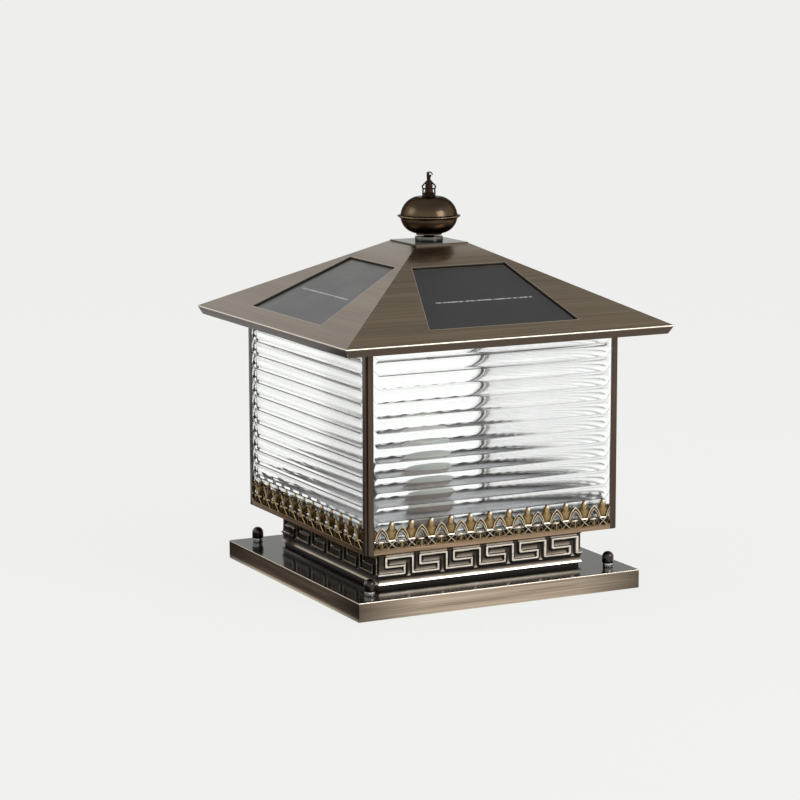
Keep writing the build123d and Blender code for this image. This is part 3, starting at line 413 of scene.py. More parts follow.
def brushed_bronze_roof(colours, along):
    """Antique bronze sheet, brushed along the eave and lacquered. Long streaks from brown to grey-brown, and
    a soft clear gloss that pales where it is seen at a shallow angle; a highlight is painted on the eave fold
    and the window rims, and painted shade darkens the lip. Streaks are coarser than the real grit, to show."""
    # Each axis takes the length, 0, or the width, 1.
    order = {"x": (0, 1, 1), "y": (1, 0, 1)}[along]
    streak = [STREAK[measure] for measure in order]
    cloud = [CLOUD[measure] for measure in order]
    eave_z = roof_slope()[0][1]

    def folds(tree, place, colour):
        height = add(tree, "ShaderNodeSeparateXYZ", {0: place}).outputs[2]
        # Painted shade: the lip under the eave is darkened.
        under = add(tree, "ShaderNodeMapRange", {0: height, 1: eave_z - 0.6 * MM, 2: eave_z - 1.4 * MM})
        darkened = {0: under.outputs[0], 6: colour, 7: tuple(colours.lip)}
        lip = add(tree, "ShaderNodeMix", darkened, data_type="RGBA")
        # Painted highlight: the fold and the window rims take the pale edge colour, by their polish.
        polish_and_painted_light = add(tree, "ShaderNodeAttribute", attribute_name="polish_and_painted_light")
        rubbed = {0: polish_and_painted_light.outputs["Fac"], 6: lip.outputs[2], 7: tuple(colours.edge)}
        return add(tree, "ShaderNodeMix", rubbed, data_type="RGBA").outputs[2]

    return finish(
        f"brushed_bronze_roof_{along}", tuple(colours.roof_dark), tuple(colours.roof_light), streak,
        (0.24, 0.34), 0.004, cloud, folds, Metallic=1.0, Specular_Tint="#D4D4D8", **LACQUER,
    )


def brushed_bronze_upright(colours):
    """Bronze strip drawn lengthwise, on the corner posts: fine upright lines and a dull gloss."""
    return finish(
        "brushed_bronze_posts", "#3F3329", tuple(colours.post), (1.6, 1.6, 120), (0.3, 0.45), 0.01,
        Metallic=1.0, **LACQUER,
    )


def brushed_bronze_base(colours):
    """Bronze sheet of the base plate: sides brushed level, in pale tones that paint the light of the bright
    floor they reflect, darker towards the corners, a painted highlight line along the top edge, and a dark
    lacquered top with sharp but weak reflections. The grain runs round the four sides because it is drawn on
    x + y and on height."""
    darkening_start, darkening_end, darkening_share = 85 * MM, 150 * MM, 0.8
    top_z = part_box("base_plate")[1].z
    highlight_low, highlight_high = top_z - 1.2 * MM, top_z - 0.6 * MM
    top_low, top_high = top_z - 0.25 * MM, top_z - 0.1 * MM
    material, tree, place = begin("brushed_bronze_base")
    axes = add(tree, "ShaderNodeSeparateXYZ", {0: place})
    girth = add(tree, "ShaderNodeMath", {0: axes.outputs[0], 1: axes.outputs[1]}, operation="ADD")
    level = add(tree, "ShaderNodeCombineXYZ", {0: girth.outputs[0], 1: axes.outputs[2]})
    fine = grain(tree, level.outputs[0], (140, 0.9, 1))
    broad = grain(tree, level.outputs[0], (170, 5, 1), detail=2.0)
    streaks = add(tree, "ShaderNodeMix", {0: 0.5, 2: fine, 3: broad}, data_type="FLOAT").outputs[0]
    # Painted light: the sides' pale tones stand in for the bright floor they reflect.
    brushed = {0: streaks, 6: tuple(colours.side_dark), 7: tuple(colours.side_light)}
    side = add(tree, "ShaderNodeMix", brushed, data_type="RGBA")
    spans = add(tree, "ShaderNodeVectorMath", {0: place}, operation="ABSOLUTE")
    spans = add(tree, "ShaderNodeSeparateXYZ", {0: spans.outputs[0]})
    # Darker towards the corners.
    corner = add(tree, "ShaderNodeMath", {0: spans.outputs[0], 1: spans.outputs[1]}, operation="MINIMUM")
    darkening = {0: corner.outputs[0], 1: darkening_start, 2: darkening_end, 4: darkening_share}
    corner_darkening = add(tree, "ShaderNodeMapRange", darkening)
    darkened = {0: corner_darkening.outputs[0], 6: side.outputs[2], 7: "#41372F"}
    side = add(tree, "ShaderNodeMix", darkened, data_type="RGBA")
    # Painted highlight: a pale line along the top edge.
    line = add(tree, "ShaderNodeMapRange", {0: axes.outputs[2], 1: highlight_low, 2: highlight_high})
    rubbed = {0: line.outputs[0], 6: side.outputs[2], 7: tuple(colours.edge)}
    edge = add(tree, "ShaderNodeMix", rubbed, data_type="RGBA")
    top = add(tree, "ShaderNodeMapRange", {0: axes.outputs[2], 1: top_low, 2: top_high})
    lacquered = {0: top.outputs[0], 6: edge.outputs[2], 7: tuple(colours.base_top)}
    colour = add(tree, "ShaderNodeMix", lacquered, data_type="RGBA")
    smooth = add(tree, "ShaderNodeMapRange", {0: top.outputs[0], 3: 0.3, 4: 0.1})
    uneven = {0: streaks, 1: 0.05, 2: smooth.outputs[0]}
    rough = add(tree, "ShaderNodeMath", uneven, operation="MULTIPLY_ADD")
    metal = add(tree, "ShaderNodeMapRange", {0: top.outputs[0], 3: 1.0, 4: 0.0})
    sockets = {
        "Base Color": colour.outputs[2], "Roughness": rough.outputs[0], "Metallic": metal.outputs[0],
        "Specular IOR Level": 0.12,
    }
    shader = add(tree, "ShaderNodeBsdfPrincipled", sockets)
    add(tree, "ShaderNodeOutputMaterial", {"Surface": shader.outputs[0]})
    return material


def rubbed_casting(name, tones, cell, rough, bump):
    """A darkened metal relief that was rubbed on its high parts. Its colour runs through some tones, from the
    polish that each point carries, which holds painted shade and light as well as the rubbing, and is spotted
    by dirt; the dark tones are matt and the rubbed metal glossy."""
    material, tree, place = begin(name)
    polish_and_painted_light = add(tree, "ShaderNodeAttribute", attribute_name="polish_and_painted_light").outputs["Fac"]
    ramp = add(tree, "ShaderNodeValToRGB", {0: polish_and_painted_light})
    stops = ramp.color_ramp.elements
    stops[0].position, stops[0].color = tones[0]
    stops[1].position, stops[1].color = tones[-1]
    for position, colour in tones[1:-1]:
        stops.new(position).color = colour
    spots = grain(tree, place, cell)
    dirt = add(tree, "ShaderNodeMix", {0: spots, 6: "#D6CEC4", 7: "#FFFFFF"}, data_type="RGBA")
    spotted = {0: 1.0, 6: ramp.outputs[0], 7: dirt.outputs[2]}
    colour = add(tree, "ShaderNodeMix", spotted, data_type="RGBA", blend_type="MULTIPLY")
    metal = add(tree, "ShaderNodeMapRange", {0: polish_and_painted_light, 1: 0.1, 2: 0.4})
    constants = {"Metallic": metal.outputs[0], "Specular IOR Level": 0.2}
    close(tree, constants, colour.outputs[2], spots, rough, bump)
    return material


def rubbed_fret_bronze(colours):
    """Pressed bronze, darkened and then rubbed: cream ridges, black flanks and a grey-brown field. The black
    by the ridges and the paler parts of the field are painted shade and light.
    """
    tones = [
        (0.0, linear("#0B0806")), (0.25, linear("#2E2823")), (0.5, tuple(colours.fret_field)),
        (0.75, linear("#BDB2A4")), (1.0, linear("#FBF4E9")),
    ]
    return rubbed_casting("rubbed_fret_bronze", tones, (14, 14, 4), (0.12, 0.22), 0.01)


def rubbed_frieze_brass(colours):
    """Cast brass, toned brown and rubbed bright: black hollows, brown cups, yellow lines and cream tips."""
    tones = [
        (0.0, linear("#0D0906")), (0.3, linear("#3B2911")), (0.5, tuple(colours.frieze_brown)),
        (0.75, tuple(colours.frieze_gold)), (1.0, linear("#FFF6E4")),
    ]
    return rubbed_casting("rubbed_frieze_brass", tones, (3, 3, 3), (0.2, 0.36), 0.03)


def clear_fluted_acrylic():
    """Moulded clear acrylic: water-clear and glossy on the flutes, with a fine haze on the inside, where the
    polish of the points is more than nought. On the flutes' lower rims, where it is less, painted shade shows
    as dark lines."""
    material, tree, place = begin("clear_fluted_acrylic")
    tone = grain(tree, place, (18, 18, 18))
    clear = add(tree, "ShaderNodeMix", {0: tone, 6: "#FBFDFD", 7: "#FFFFFF"}, data_type="RGBA")
    polish_and_painted_light = add(tree, "ShaderNodeAttribute", attribute_name="polish_and_painted_light").outputs["Fac"]
    # Painted shade: dark lines on the flutes' lower rims.
    rim = add(tree, "ShaderNodeMapRange", {0: polish_and_painted_light, 1: -0.1, 2: -0.6})
    lined = {0: rim.outputs[0], 6: clear.outputs[2], 7: "#0C0C0C"}
    colour = add(tree, "ShaderNodeMix", lined, data_type="RGBA")
    constants = {"IOR": 1.49, "Transmission Weight": 1.0, "Specular Tint": "#A8A8A8"}
    close(tree, constants, colour.outputs[2], polish_and_painted_light, (0.01, 0.26), 0.0)
    return material


def solar_laminate(colours, window, along):
    """Dark solar cells under a satin clear film, with one pale broken collector strip across the panel. The
    cells end in a black line at the head and the sides of the window, part seal and part painted shadow under
    the sheet's edge; it is wider at the head."""
    strip_out, strip_reach, strip_half = 112 * MM, 51 * MM, 0.75 * MM
    border_width, head_shift = 1.3 * MM, 1.6 * MM
    (low_out, low_half), (high_out, high_half) = window
    material, tree, place = begin(f"solar_laminate_{along}")
    axes = add(tree, "ShaderNodeSeparateXYZ", {0: place}).outputs
    across, out = (axes[0], axes[1]) if along == "x" else (axes[1], axes[0])
    distance = add(tree, "ShaderNodeMath", {0: out}, operation="ABSOLUTE").outputs[0]
    half = add(tree, "ShaderNodeMath", {0: across}, operation="ABSOLUTE").outputs[0]
    strip = add(tree, "ShaderNodeMath", {0: distance, 1: strip_out, 2: strip_half}, operation="COMPARE")
    reach = add(tree, "ShaderNodeMath", {0: half, 1: strip_reach}, operation="LESS_THAN")
    both = add(tree, "ShaderNodeMath", {0: strip.outputs[0], 1: reach.outputs[0]}, operation="MULTIPLY")
    broken = grain(tree, place, (2.5, 2.5, 2.5))
    line = add(tree, "ShaderNodeMath", {0: both.outputs[0], 1: broken}, operation="MULTIPLY")
    cloud = grain(tree, place, (40, 40, 40), detail=2.0)
    film = add(tree, "ShaderNodeMix", {0: cloud, 6: tuple(colours.cell), 7: "#232326"}, data_type="RGBA")
    lined = {0: line.outputs[0], 6: film.outputs[2], 7: "#D8D8DC"}
    cells = add(tree, "ShaderNodeMix", lined, data_type="RGBA")
    taper = {0: distance, 1: high_out, 2: low_out, 3: high_half, 4: low_half}
    edge = add(tree, "ShaderNodeMapRange", taper).outputs[0]
    side = add(tree, "ShaderNodeMath", {0: edge, 1: half}, operation="SUBTRACT")
    # Painted shadow: the line is wider at the head, under the sheet's upper edge.
    head = add(tree, "ShaderNodeMath", {0: distance, 1: high_out + head_shift}, operation="SUBTRACT")
    near = add(tree, "ShaderNodeMath", {0: side.outputs[0], 1: head.outputs[0]}, operation="MINIMUM")
    border = add(tree, "ShaderNodeMath", {0: near.outputs[0], 1: border_width}, operation="LESS_THAN")
    framed = {0: border.outputs[0], 6: cells.outputs[2], 7: "#050505"}
    colour = add(tree, "ShaderNodeMix", framed, data_type="RGBA")
    constants = {"Coat Weight": 0.1, "Coat Roughness": 0.18}
    close(tree, constants, colour.outputs[2], cloud, (0.26, 0.34), 0.0)
    return material


def dress(material, *nodes):
    """Gives a finish to frame nodes that stay as they are."""
    for node in nodes:
        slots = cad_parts[node].data.materials
        slots.clear()
        slots.append(material)


# Operators, one for each group of pieces


class LIGHT_OT_base(bpy.types.Operator):
    """Finish the base plate and turn its anchors' cap nuts and collars"""

    bl_idname = "pillar_light.base"
    bl_label = "Base and anchors"

    def execute(self, context):
        colours, sizes = context.scene.light_colours, context.scene.light_sizes
        dress(brushed_bronze_base(colours), "base_plate")
        low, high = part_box("anchor_cap_nuts")
        radius = sizes.nut_radius
        shoulder = high.z - radius
        slant = radius * math.sqrt(0.5)
        dome = arc((radius, shoulder), (slant, shoulder + slant), (0.2 * MM, high.z), 10)
        skirt = rounded([(CORE, low.z), (radius, low.z), (radius, shoulder)], 0.6 * MM)
        nut = lathe(np.concatenate([skirt[:-1], dome]), 40)
        foot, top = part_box("anchor_collars")
        collar = disc(sizes.collar_radius, foot.z, top.z, 40)
        pitch = high.x - radius
        centres = [np.array((x, y, 0)) for x in (-pitch, pitch) for y in (-pitch, pitch)]
        nuts = join([(nut[0] + centre, nut[1]) for centre in centres])
        collars = join([(collar[0] + centre, collar[1]) for centre in centres])
        # Cast bronze, nearly black, under a thick gloss.
        cast = finish(
            "cast_bronze_nuts", "#1E1611", tuple(colours.cast), (3, 3, 3), (0.16, 0.3), 0.02,
            Metallic=1.0, Coat_Weight=0.8, Coat_Roughness=0.08,
        )
        # Turned bright steel: pale grey, with sharp reflections.
        steel = finish(
            "bright_steel_collars", "#A9A7A2", "#DAD8D3", (1.2, 1.2, 0.5), (0.14, 0.26), 0.01, Metallic=1.0
        )
        piece("anchor_nut_domes", nuts, cast, "lantern", "dark_bronze", "anchor_cap_nuts")
        piece("anchor_collar_rings", collars, steel, "lantern", "bright_steel", "anchor_collars")
        return {"FINISHED"}


def key_ridges(sizes, low, high):
    """The straight runs of the key fret's ridge as rows of x0, z0, x1, z1: along the bottom, up to the middle
    bar, back, up, along the top and down, once for each key."""
    # The middle bar's height and its two ends, as shares of a key.
    bar, bar_start, bar_end = 0.49, 0.223, 0.762
    bottom = low.z + sizes.fret_foot + sizes.fret_inset
    top = high.z - sizes.fret_head - sizes.fret_inset
    middle = bottom + bar * (top - bottom)
    pitch = (high.x - low.x - sizes.fret_margin) / sizes.fret_units
    start = low.x + pitch * np.arange(sizes.fret_units)
    stations = pitch * np.array((bar_end, bar_end, bar_start, bar_start, 1.0, 1.0))
    levels = np.array((bottom, middle, middle, top, top, bottom))
    x = np.concatenate([[low.x], (start[:, None] + stations).ravel(), [high.x]])
    z = np.concatenate([[bottom], np.tile(levels, sizes.fret_units), [bottom]])
    return np.stack([x[:-1], z[:-1], x[1:], z[1:]], axis=1)


def fret_relief(sizes):
    """The front key-fret panel as a height over x and z, and the polish of its points. The height falls from
    each ridge's crest over a short flank, with a hollow band at the foot and a plain one at the head. In the
    polish, painted light makes a field pale towards the ridge under it, painted shadow lies black beside and
    under the ridges, and the foot band is painted bright at its bottom."""
    low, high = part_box("fret_panel_front")
    relief, crest = sizes.fret_relief, sizes.fret_crest / 2
    flank, head_flank, fade, shadow_reach, rubbed_flank = 0.8 * MM, 1.3 * MM, 2.8 * MM, 3.5 * MM, 0.25 * MM
    field_tone, field_glow, field_swell, head_tone = 0.33, 0.55, 0.35, 0.55
    x = np.linspace(low.x, high.x, 401)
    z = np.linspace(low.z, high.z, 72)[:, None]
    x0, z0, x1, z1 = (value[:, None, None] for value in key_ridges(sizes, low, high).T)
    foot, head = np.minimum(z0, z1), np.maximum(z0, z1)
    aside = x - np.clip(x, np.minimum(x0, x1), np.maximum(x0, x1))
    above = z - np.clip(z, foot, head)
    distances = np.hypot(aside, above)
    nearest = distances.argmin(axis=0)[None]
    distance = np.take_along_axis(distances, nearest, 0)[0]
    over = np.take_along_axis(above, nearest, 0)[0] / np.maximum(distance, 0.01 * MM)
    # Painted light: a field pales towards the ridge or the band below it.
    drop = np.where(np.abs(aside) < crest, z - head, np.inf)
    band = low.z + sizes.fret_foot
    drop = np.minimum(np.where(drop > 0, drop, np.inf).min(axis=0), np.where(z > band, z - band, np.inf))
    light = np.exp(-np.maximum(drop - crest, 0) / fade)
    foot_rise = 1 - np.sqrt(1 - np.clip((band - z) / sizes.fret_foot, 0, 0.97) ** 2)
    head_rise = np.clip((z - high.z + sizes.fret_head) / head_flank, 0, 1)
    rise = np.clip(1 + (crest - distance) / flank, 0, 1)
    height = np.maximum(np.maximum(rise, field_swell * light), np.maximum(foot_rise, head_rise))
    # Painted shadow: black beside and under each ridge, none above it.
    painted_shadow = np.clip((shadow_reach - distance) / flank, 0, 1) * np.clip(1 - over, 0, 1)
    field = (field_tone + field_glow * light) * (1 - painted_shadow)
    polish_and_painted_light = np.where(distance < crest + rubbed_flank, 1.0, field)
    # Painted light: the foot band is bright at its bottom and darker upwards.
    foot_painted_light = np.clip(1.2 - 1.1 * (z - low.z) / sizes.fret_foot, 0.1, 1)
    polish_and_painted_light = np.where(z < band, foot_painted_light, polish_and_painted_light)
    polish_and_painted_light = np.where(head_rise > 0, head_tone, polish_and_painted_light)
    # The ends are mitred, so each row is as wide as its distance from the axis.
    front = np.stack(np.broadcast_arrays(x, low.y + relief * (1 - height), z), axis=2)
    reach = high.y / low.y
    back = np.stack(np.broadcast_arrays(x * reach, high.y + 0 * height, z), axis=2)
    front[..., 0] *= front[..., 1] / low.y
    return plate(front, back), np.tile(polish_and_painted_light.ravel(), 2)


# How far the polish of the fret and the frieze reaches at the front and the back, and at the sides: the
# sides are darker, which is painted shade.
FRET_SIDE_SHADE = (1.0, 0.7)
FRIEZE_SIDE_SHADE = (1.0, 0.8)


class LIGHT_OT_plinth(bpy.types.Operator):
    """Model the plinth's key-fret panels, and finish its core and screws"""

    bl_idname = "pillar_light.plinth"
    bl_label = "Plinth"

    def execute(self, context):
        fret = rubbed_fret_bronze(context.scene.light_colours)
        (points, faces), polish_and_painted_light = fret_relief(context.scene.light_sizes)
        for turn, side in enumerate(SIDES):
            piece(
                f"fret_relief_{side}", (turned(points, turn), faces), fret, "lantern", "frame_bronze",
                f"fret_panel_{side}", polish_and_painted_light=polish_and_painted_light * FRET_SIDE_SHADE[turn % 2],
            )
        # Folded steel tube, painted dark: near black, which also paints the shade in the recess under the
        # fret panels; hardly any gloss, a slight orange peel.
        core = finish("painted_steel_core", "#17120E", "#2A221B", (4, 4, 4), (0.4, 0.55), 0.03)
        dress(core, "plinth_core")
        # Zinc-plated screws: pale grey with a faint yellow cast.
        zinc = finish("zinc_steel_screws", "#8F8C84", "#C2BFB6", (1.5, 1.5, 1.5), (0.25, 0.4), Metallic=1.0)
        dress(zinc, "plinth_screws", "floor_screws", "soffit_screws")
        return {"FINISHED"}


class LIGHT_OT_body(bpy.types.Operator):
    """Finish the lantern's floor tray, posts, top frame and the steel inside"""

    bl_idname = "pillar_light.body"
    bl_label = "Lantern body"

    def execute(self, context):
        colours = context.scene.light_colours
        rail_depth = 0.6 * MM
        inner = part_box("floor_tray")[1].x - rail_depth

        def floor_paint(tree, place, colour):
            spans = add(tree, "ShaderNodeVectorMath", {0: place}, operation="ABSOLUTE")
            spans = add(tree, "ShaderNodeSeparateXYZ", {0: spans.outputs[0]}).outputs
            out = add(tree, "ShaderNodeMath", {0: spans[0], 1: spans[1]}, operation="MAXIMUM")
            inside = add(tree, "ShaderNodeMath", {0: out.outputs[0], 1: inner}, operation="LESS_THAN")
            painted = {0: inside.outputs[0], 6: colour, 7: "#B4B6BA"}
            return add(tree, "ShaderNodeMix", painted, data_type="RGBA").outputs[2]

        # Bronze rail, brushed level: gold-tan with fine dark lines, a paleness that paints the highlight it
        # catches, and plain grey inside.
        rail = finish(
            "brushed_bronze_rail", "#75604C", tuple(colours.rail), (60, 60, 0.9), (0.28, 0.42), 0.01,
            (90, 90, 4), floor_paint, Metallic=1.0, **LACQUER,
        )
        dress(rail, "floor_tray")
        dress(brushed_bronze_upright(colours), *(f"corner_post_{corner}" for corner in CORNERS))
        # Bronze frame, brushed level: as dark as the posts, and duller.
        frame_bronze = finish(
            "bronze_top_frame", "#3F3329", tuple(colours.post), (60, 60, 1.2), (0.3, 0.45), 0.01, Metallic=1.0
        )
        dress(frame_bronze, "top_frame")
        # Plain drawn steel: mid grey with a fine directional sheen.
        steel = finish("drawn_steel", "#7C7A76", "#A8A6A1", (30, 30, 1.0), (0.25, 0.4), 0.01, Metallic=1.0)
        dress(steel, "pane_clips", "spider_bar", "center_rod", "rod_nuts")
        # Black silicone: matt, with a slight bloom.
        rubber = finish("black_silicone", "#101010", "#1F1F20", (2, 2, 2), (0.55, 0.75), 0.02)
        dress(rubber, "pane_pads", "roof_gasket", "panel_seals")
        return {"FINISHED"}


def fluted_pane(sizes):
    """The front pane as a depth over x and z, and the polish of its points. Each flute is cut by a ball that
    runs along its axis, so its section is an arc and its ends are round. Flutes meet in sharp edges, and the
    inside is flat. The polish is less than nought on each flute's lower rim, where it paints a line of shade,
    and on the inside it rises to the right."""
    rim_share = 0.14
    low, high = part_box("pane_front")
    pitch = (high.z - low.z) / sizes.flute_count
    depth = high.y - low.y - sizes.pane_web
    if depth <= 0:
        raise RuntimeError("the pane is no thicker than its web")
    ball = (pitch**2 / 4 + depth**2) / (2 * depth)
    axis = sizes.flute_end - pitch / 2
    end = axis + pitch / 2 * np.sin(np.linspace(0, np.pi / 2, 11))
    x = np.concatenate([[low.x], -end[::-1], np.linspace(-axis, axis, 19)[1:-1], end, [high.x]])
    steps = np.linspace(0, 1, 16, endpoint=False)
    share = np.concatenate([np.tile(steps, sizes.flute_count), [1.0]])
    number = np.concatenate([np.repeat(np.arange(sizes.flute_count), len(steps)), [sizes.flute_count - 1]])
    z = (low.z + pitch * (number + share))[:, None]
    above = (pitch * (share - 0.5))[:, None]
    off_axis = np.hypot(np.maximum(np.abs(x) - axis, 0), above)
    cut = np.sqrt(ball**2 - np.minimum(off_axis, pitch / 2) ** 2) - (ball - depth)
    front = np.stack(np.broadcast_arrays(x, low.y + cut, z), axis=2)
    back = front.copy()
    back[..., 1] = high.y
    rim = np.clip(1 - np.abs(1 - 2 * off_axis / pitch) / rim_share, 0, 1)
    shade = rim * np.clip(-above / np.maximum(off_axis, 0.01 * MM), 0, 1)
    haze_reach = 0.6 * axis
    haze = 0.6 - 0.4 * np.cos(np.pi * np.clip(x / haze_reach, 0, 1))
    return plate(front, back), np.concatenate([-shade.ravel(), (haze + 0 * shade).ravel()])


# How dark the painted shade line on the flutes' lower rims may be on each side.
PAINTED_RIM_SHADE = {"front": 0.3, "right": 0.1, "back": 0.1, "left": 1.0}


class LIGHT_OT_panes(bpy.types.Operator):
    """Model the four fluted panes"""

    bl_idname = "pillar_light.panes"
    bl_label = "Fluted panes"

    def execute(self, context):
        acrylic = clear_fluted_acrylic()
        (points, faces), polish_and_painted_light = fluted_pane(context.scene.light_sizes)
        for turn, side in enumerate(SIDES):
            piece(
                f"fluted_pane_{side}", (turned(points, turn), faces), acrylic, "lantern", "pane_glass",
                f"pane_{side}", crease=60, polish_and_painted_light=np.maximum(polish_and_painted_light, -PAINTED_RIM_SHADE[side]),
            )
        return {"FINISHED"}


def frieze_unit(pitch, top, stroke, thick):
    """The pieces of one leaf of the frieze, in the frieze's plane: shells with the polish of their low and
    high points. A leaf with a bright tip stands in a cup on a short bar; from there a double line rises to
    each side, to meet the next leaf's, with a black line of painted shadow behind it; under the bar two lines
    cross between scrolls on a thin web, with a block and a stem half-way to the next leaf. Sizes are shares
    of half the pitch and the height."""
    half = pitch / 2
    unit = np.array((half, top))
    turn = np.linspace(0, 2 * np.pi, 18, endpoint=False)
    ring = np.stack([np.cos(turn), np.sin(turn)], axis=1)

    def mirrored(corners, bend):
        edge = rounded(np.array(corners) * unit, bend * half)
        return np.concatenate([edge, (edge * (-1, 1))[::-1][1:-1]])

    web = mirrored([(0, 0.02), (1, 0.02), (1, 0.2), (0, 0.28)], 0.02)
    cup = [(0, 0.3), (0.3, 0.33), (0.46, 0.5), (0.58, 0.66), (0.4, 0.72), (0.3, 0.8), (0, 0.82)]
    cup = mirrored(cup, 0.06)
    leaf = (0, 0.79 * top) + ring * (0.32, 0.2) * unit
    tip = (0.06 * half, 0.89 * top) + ring * (0.22, 0.1) * unit
    corners = [(0.62, 0.24), (1.38, 0.24), (1.38, 0.32), (0.62, 0.32)]
    block = rounded(np.array(corners + corners[:2]) * unit, 0.05 * half)[1:-1]
    parts = [
        (pillow(web, np.array((0, 0.12 * top)), 0.25 * thick, 3), 0.0, 0.0),
        (pillow(leaf, np.array((0, 0.8 * top)), thick), 0.35, 0.7),
        (pillow(tip, np.array((0.06 * half, 0.89 * top)), 1.12 * thick), 0.7, 1.0),
        (pillow(cup, np.array((0, 0.52 * top)), 0.95 * thick), 0.3, 0.62),
        (pillow(block, np.array((half, 0.28 * top)), 0.95 * thick, 4), 0.7, 1.0),
    ]
    # Each line is its knots, its width in strokes, and the polish of its low and high points.
    lines = [([(-0.32, 0.31), (0.32, 0.31)], 1.1, 0.85, 1.0), ([(1, 0.02), (1, 0.26)], 0.8, 0.1, 0.85)]
    for side in (-1, 1):
        lines += [
            ([(0.34 * side, 0.36), (0.5 * side, 0.55), (0.72 * side, 0.67), (side, 0.77)], 0.9, 0.1, 0.98),
            ([(0.46 * side, 0.34), (0.6 * side, 0.46), (0.78 * side, 0.57), (side, 0.65)], 0.8, 0.1, 0.94),
            # Painted shadow: a wide black line behind the double line.
            ([(0.4 * side, 0.35), (0.55 * side, 0.5), (0.75 * side, 0.62), (side, 0.7)], 2.6, 0.0, 0.0),
            ([(-0.3 * side, 0.29), (0.44 * side, 0.03)], 0.7, 0.1, 0.95),
        ]
        scroll = (0.66 * side * half, 0.12 * top) + 0.2 * half * ring
        parts.append((tube(scroll, 0.6 * stroke, 0.7 * thick, 0.4 * thick, 6, True), 0.1, 0.92))
    for knots, width, dull, bright in lines:
        knots = np.array(knots) * unit
        path = rounded(knots, half) if len(knots) > 2 else np.linspace(*knots, 4)
        depth = 0.9 * thick if bright else 0.5 * thick
        parts.append((tube(path, width * stroke, depth, 0.55 * depth), dull, bright))
    return parts


class LIGHT_OT_friezes(bpy.types.Operator):
    """Model the four pierced friezes of cast brass"""

    bl_idname = "pillar_light.friezes"
    bl_label = "Friezes"

    def execute(self, context):
        sizes = context.scene.light_sizes
        brass = rubbed_frieze_brass(context.scene.light_colours)
        low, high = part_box("frieze_front")
        thick, pitch = high.y - low.y, sizes.frieze_pitch
        unit = frieze_unit(pitch, high.z - low.z, sizes.frieze_stroke, 0.88 * thick)
        reach = math.ceil((high.x - low.x) / pitch / 2)
        first = sizes.frieze_first - pitch / 2
        strip_width, least = 1.2 * MM, 0.5 * MM
        strip = np.linspace((low.x, strip_width / 2), (high.x, strip_width / 2), 40)
        shells = [(tube(strip, strip_width, thick, 0.5 * thick), 0.1, 0.6)]
        for number in range(-reach, reach + 1):
            shift = np.array((number * pitch + first, 0, 0))
            for (points, faces), dull, bright in unit:
                moved = points + shift
                if moved[:, 0].min() < high.x - least and moved[:, 0].max() > low.x + least:
                    shells.append(((moved, faces), dull, bright))
        points, faces = join([shell for shell, dull, bright in shells])
        dull = np.concatenate([np.full(len(shell[0]), low_tone) for shell, low_tone, high_tone in shells])
        bright = np.concatenate([np.full(len(shell[0]), high_tone) for shell, low_tone, high_tone in shells])
        polish_and_painted_light = dull + (bright - dull) * np.clip(points[:, 2] / (0.8 * thick), 0, 1) ** 2
        along = np.clip(points[:, 0], low.x, high.x)
        placed = np.stack([along, high.y - np.clip(points[:, 2], 0, thick), low.z + points[:, 1]], axis=1)
        faces = [face[::-1] for face in faces]
        for turn, side in enumerate(SIDES):
            piece(
                f"frieze_casting_{side}", (turned(placed, turn), faces), brass, "lantern", "frieze_brass",
                f"frieze_{side}", polish_and_painted_light=polish_and_painted_light * FRIEZE_SIDE_SHADE[turn % 2],
            )
        return {"FINISHED"}


class LIGHT_OT_lamp(bpy.types.Operator):
    """Finish the lamp on the lantern's floor"""

    bl_idname = "pillar_light.lamp"
    bl_label = "Lamp"

    def execute(self, context):
        # Painted lamp can: pale beige-grey, semi-matt.
        can = finish("painted_lamp_can", "#A4978A", "#B8ACA0", (6, 6, 6), (0.35, 0.5), 0.02)
        dress(can, "lamp_can")
        # Opal polycarbonate: milky, with light passing into it.
        opal = finish(
            "opal_polycarbonate", "#E4E2DC", "#F4F2EC", (9, 9, 9), (0.25, 0.4),
            Subsurface_Weight=0.4, Subsurface_Scale=4 * MM,
        )
        dress(opal, "lamp_diffuser")
        # White solder mask: even and slightly glossy.
        board = finish("white_solder_mask", "#E2E2DF", "#F2F2F0", (2, 2, 2), (0.3, 0.45), 0.01)
        dress(board, "led_board")
        # Phosphor on the chips: yellow and matt.
        phosphor = finish("yellow_phosphor", "#C79A1E", "#E4BE46", (0.8, 0.8, 0.8), (0.4, 0.55), 0.02)
        dress(phosphor, "led_chips")
        return {"FINISHED"}


def roof_slope():
    """The front eave as y and z, the unit step up the slope from it, and the slope's length to the cap."""
    low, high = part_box("roof_sheet_front")
    sizes = bpy.context.scene.light_sizes
    eave = np.array((low.y, low.z + sizes.lip_drop))
    rise = np.array((-low.y - sizes.roof_top, high.z - eave[1]))
    run = np.linalg.norm(rise)
    return eave, rise / run, run


def roof_window(sizes):
    """The front roof window's foot and head, each as its distance from the axis and half its width."""
    eave, up, run = roof_slope()
    corners = ((sizes.window_low, sizes.window_low_side), (run - sizes.window_high, sizes.window_high_side))
    return [(-eave[0] - climb * up[0], -eave[0] - climb * up[0] - side) for climb, side in corners]


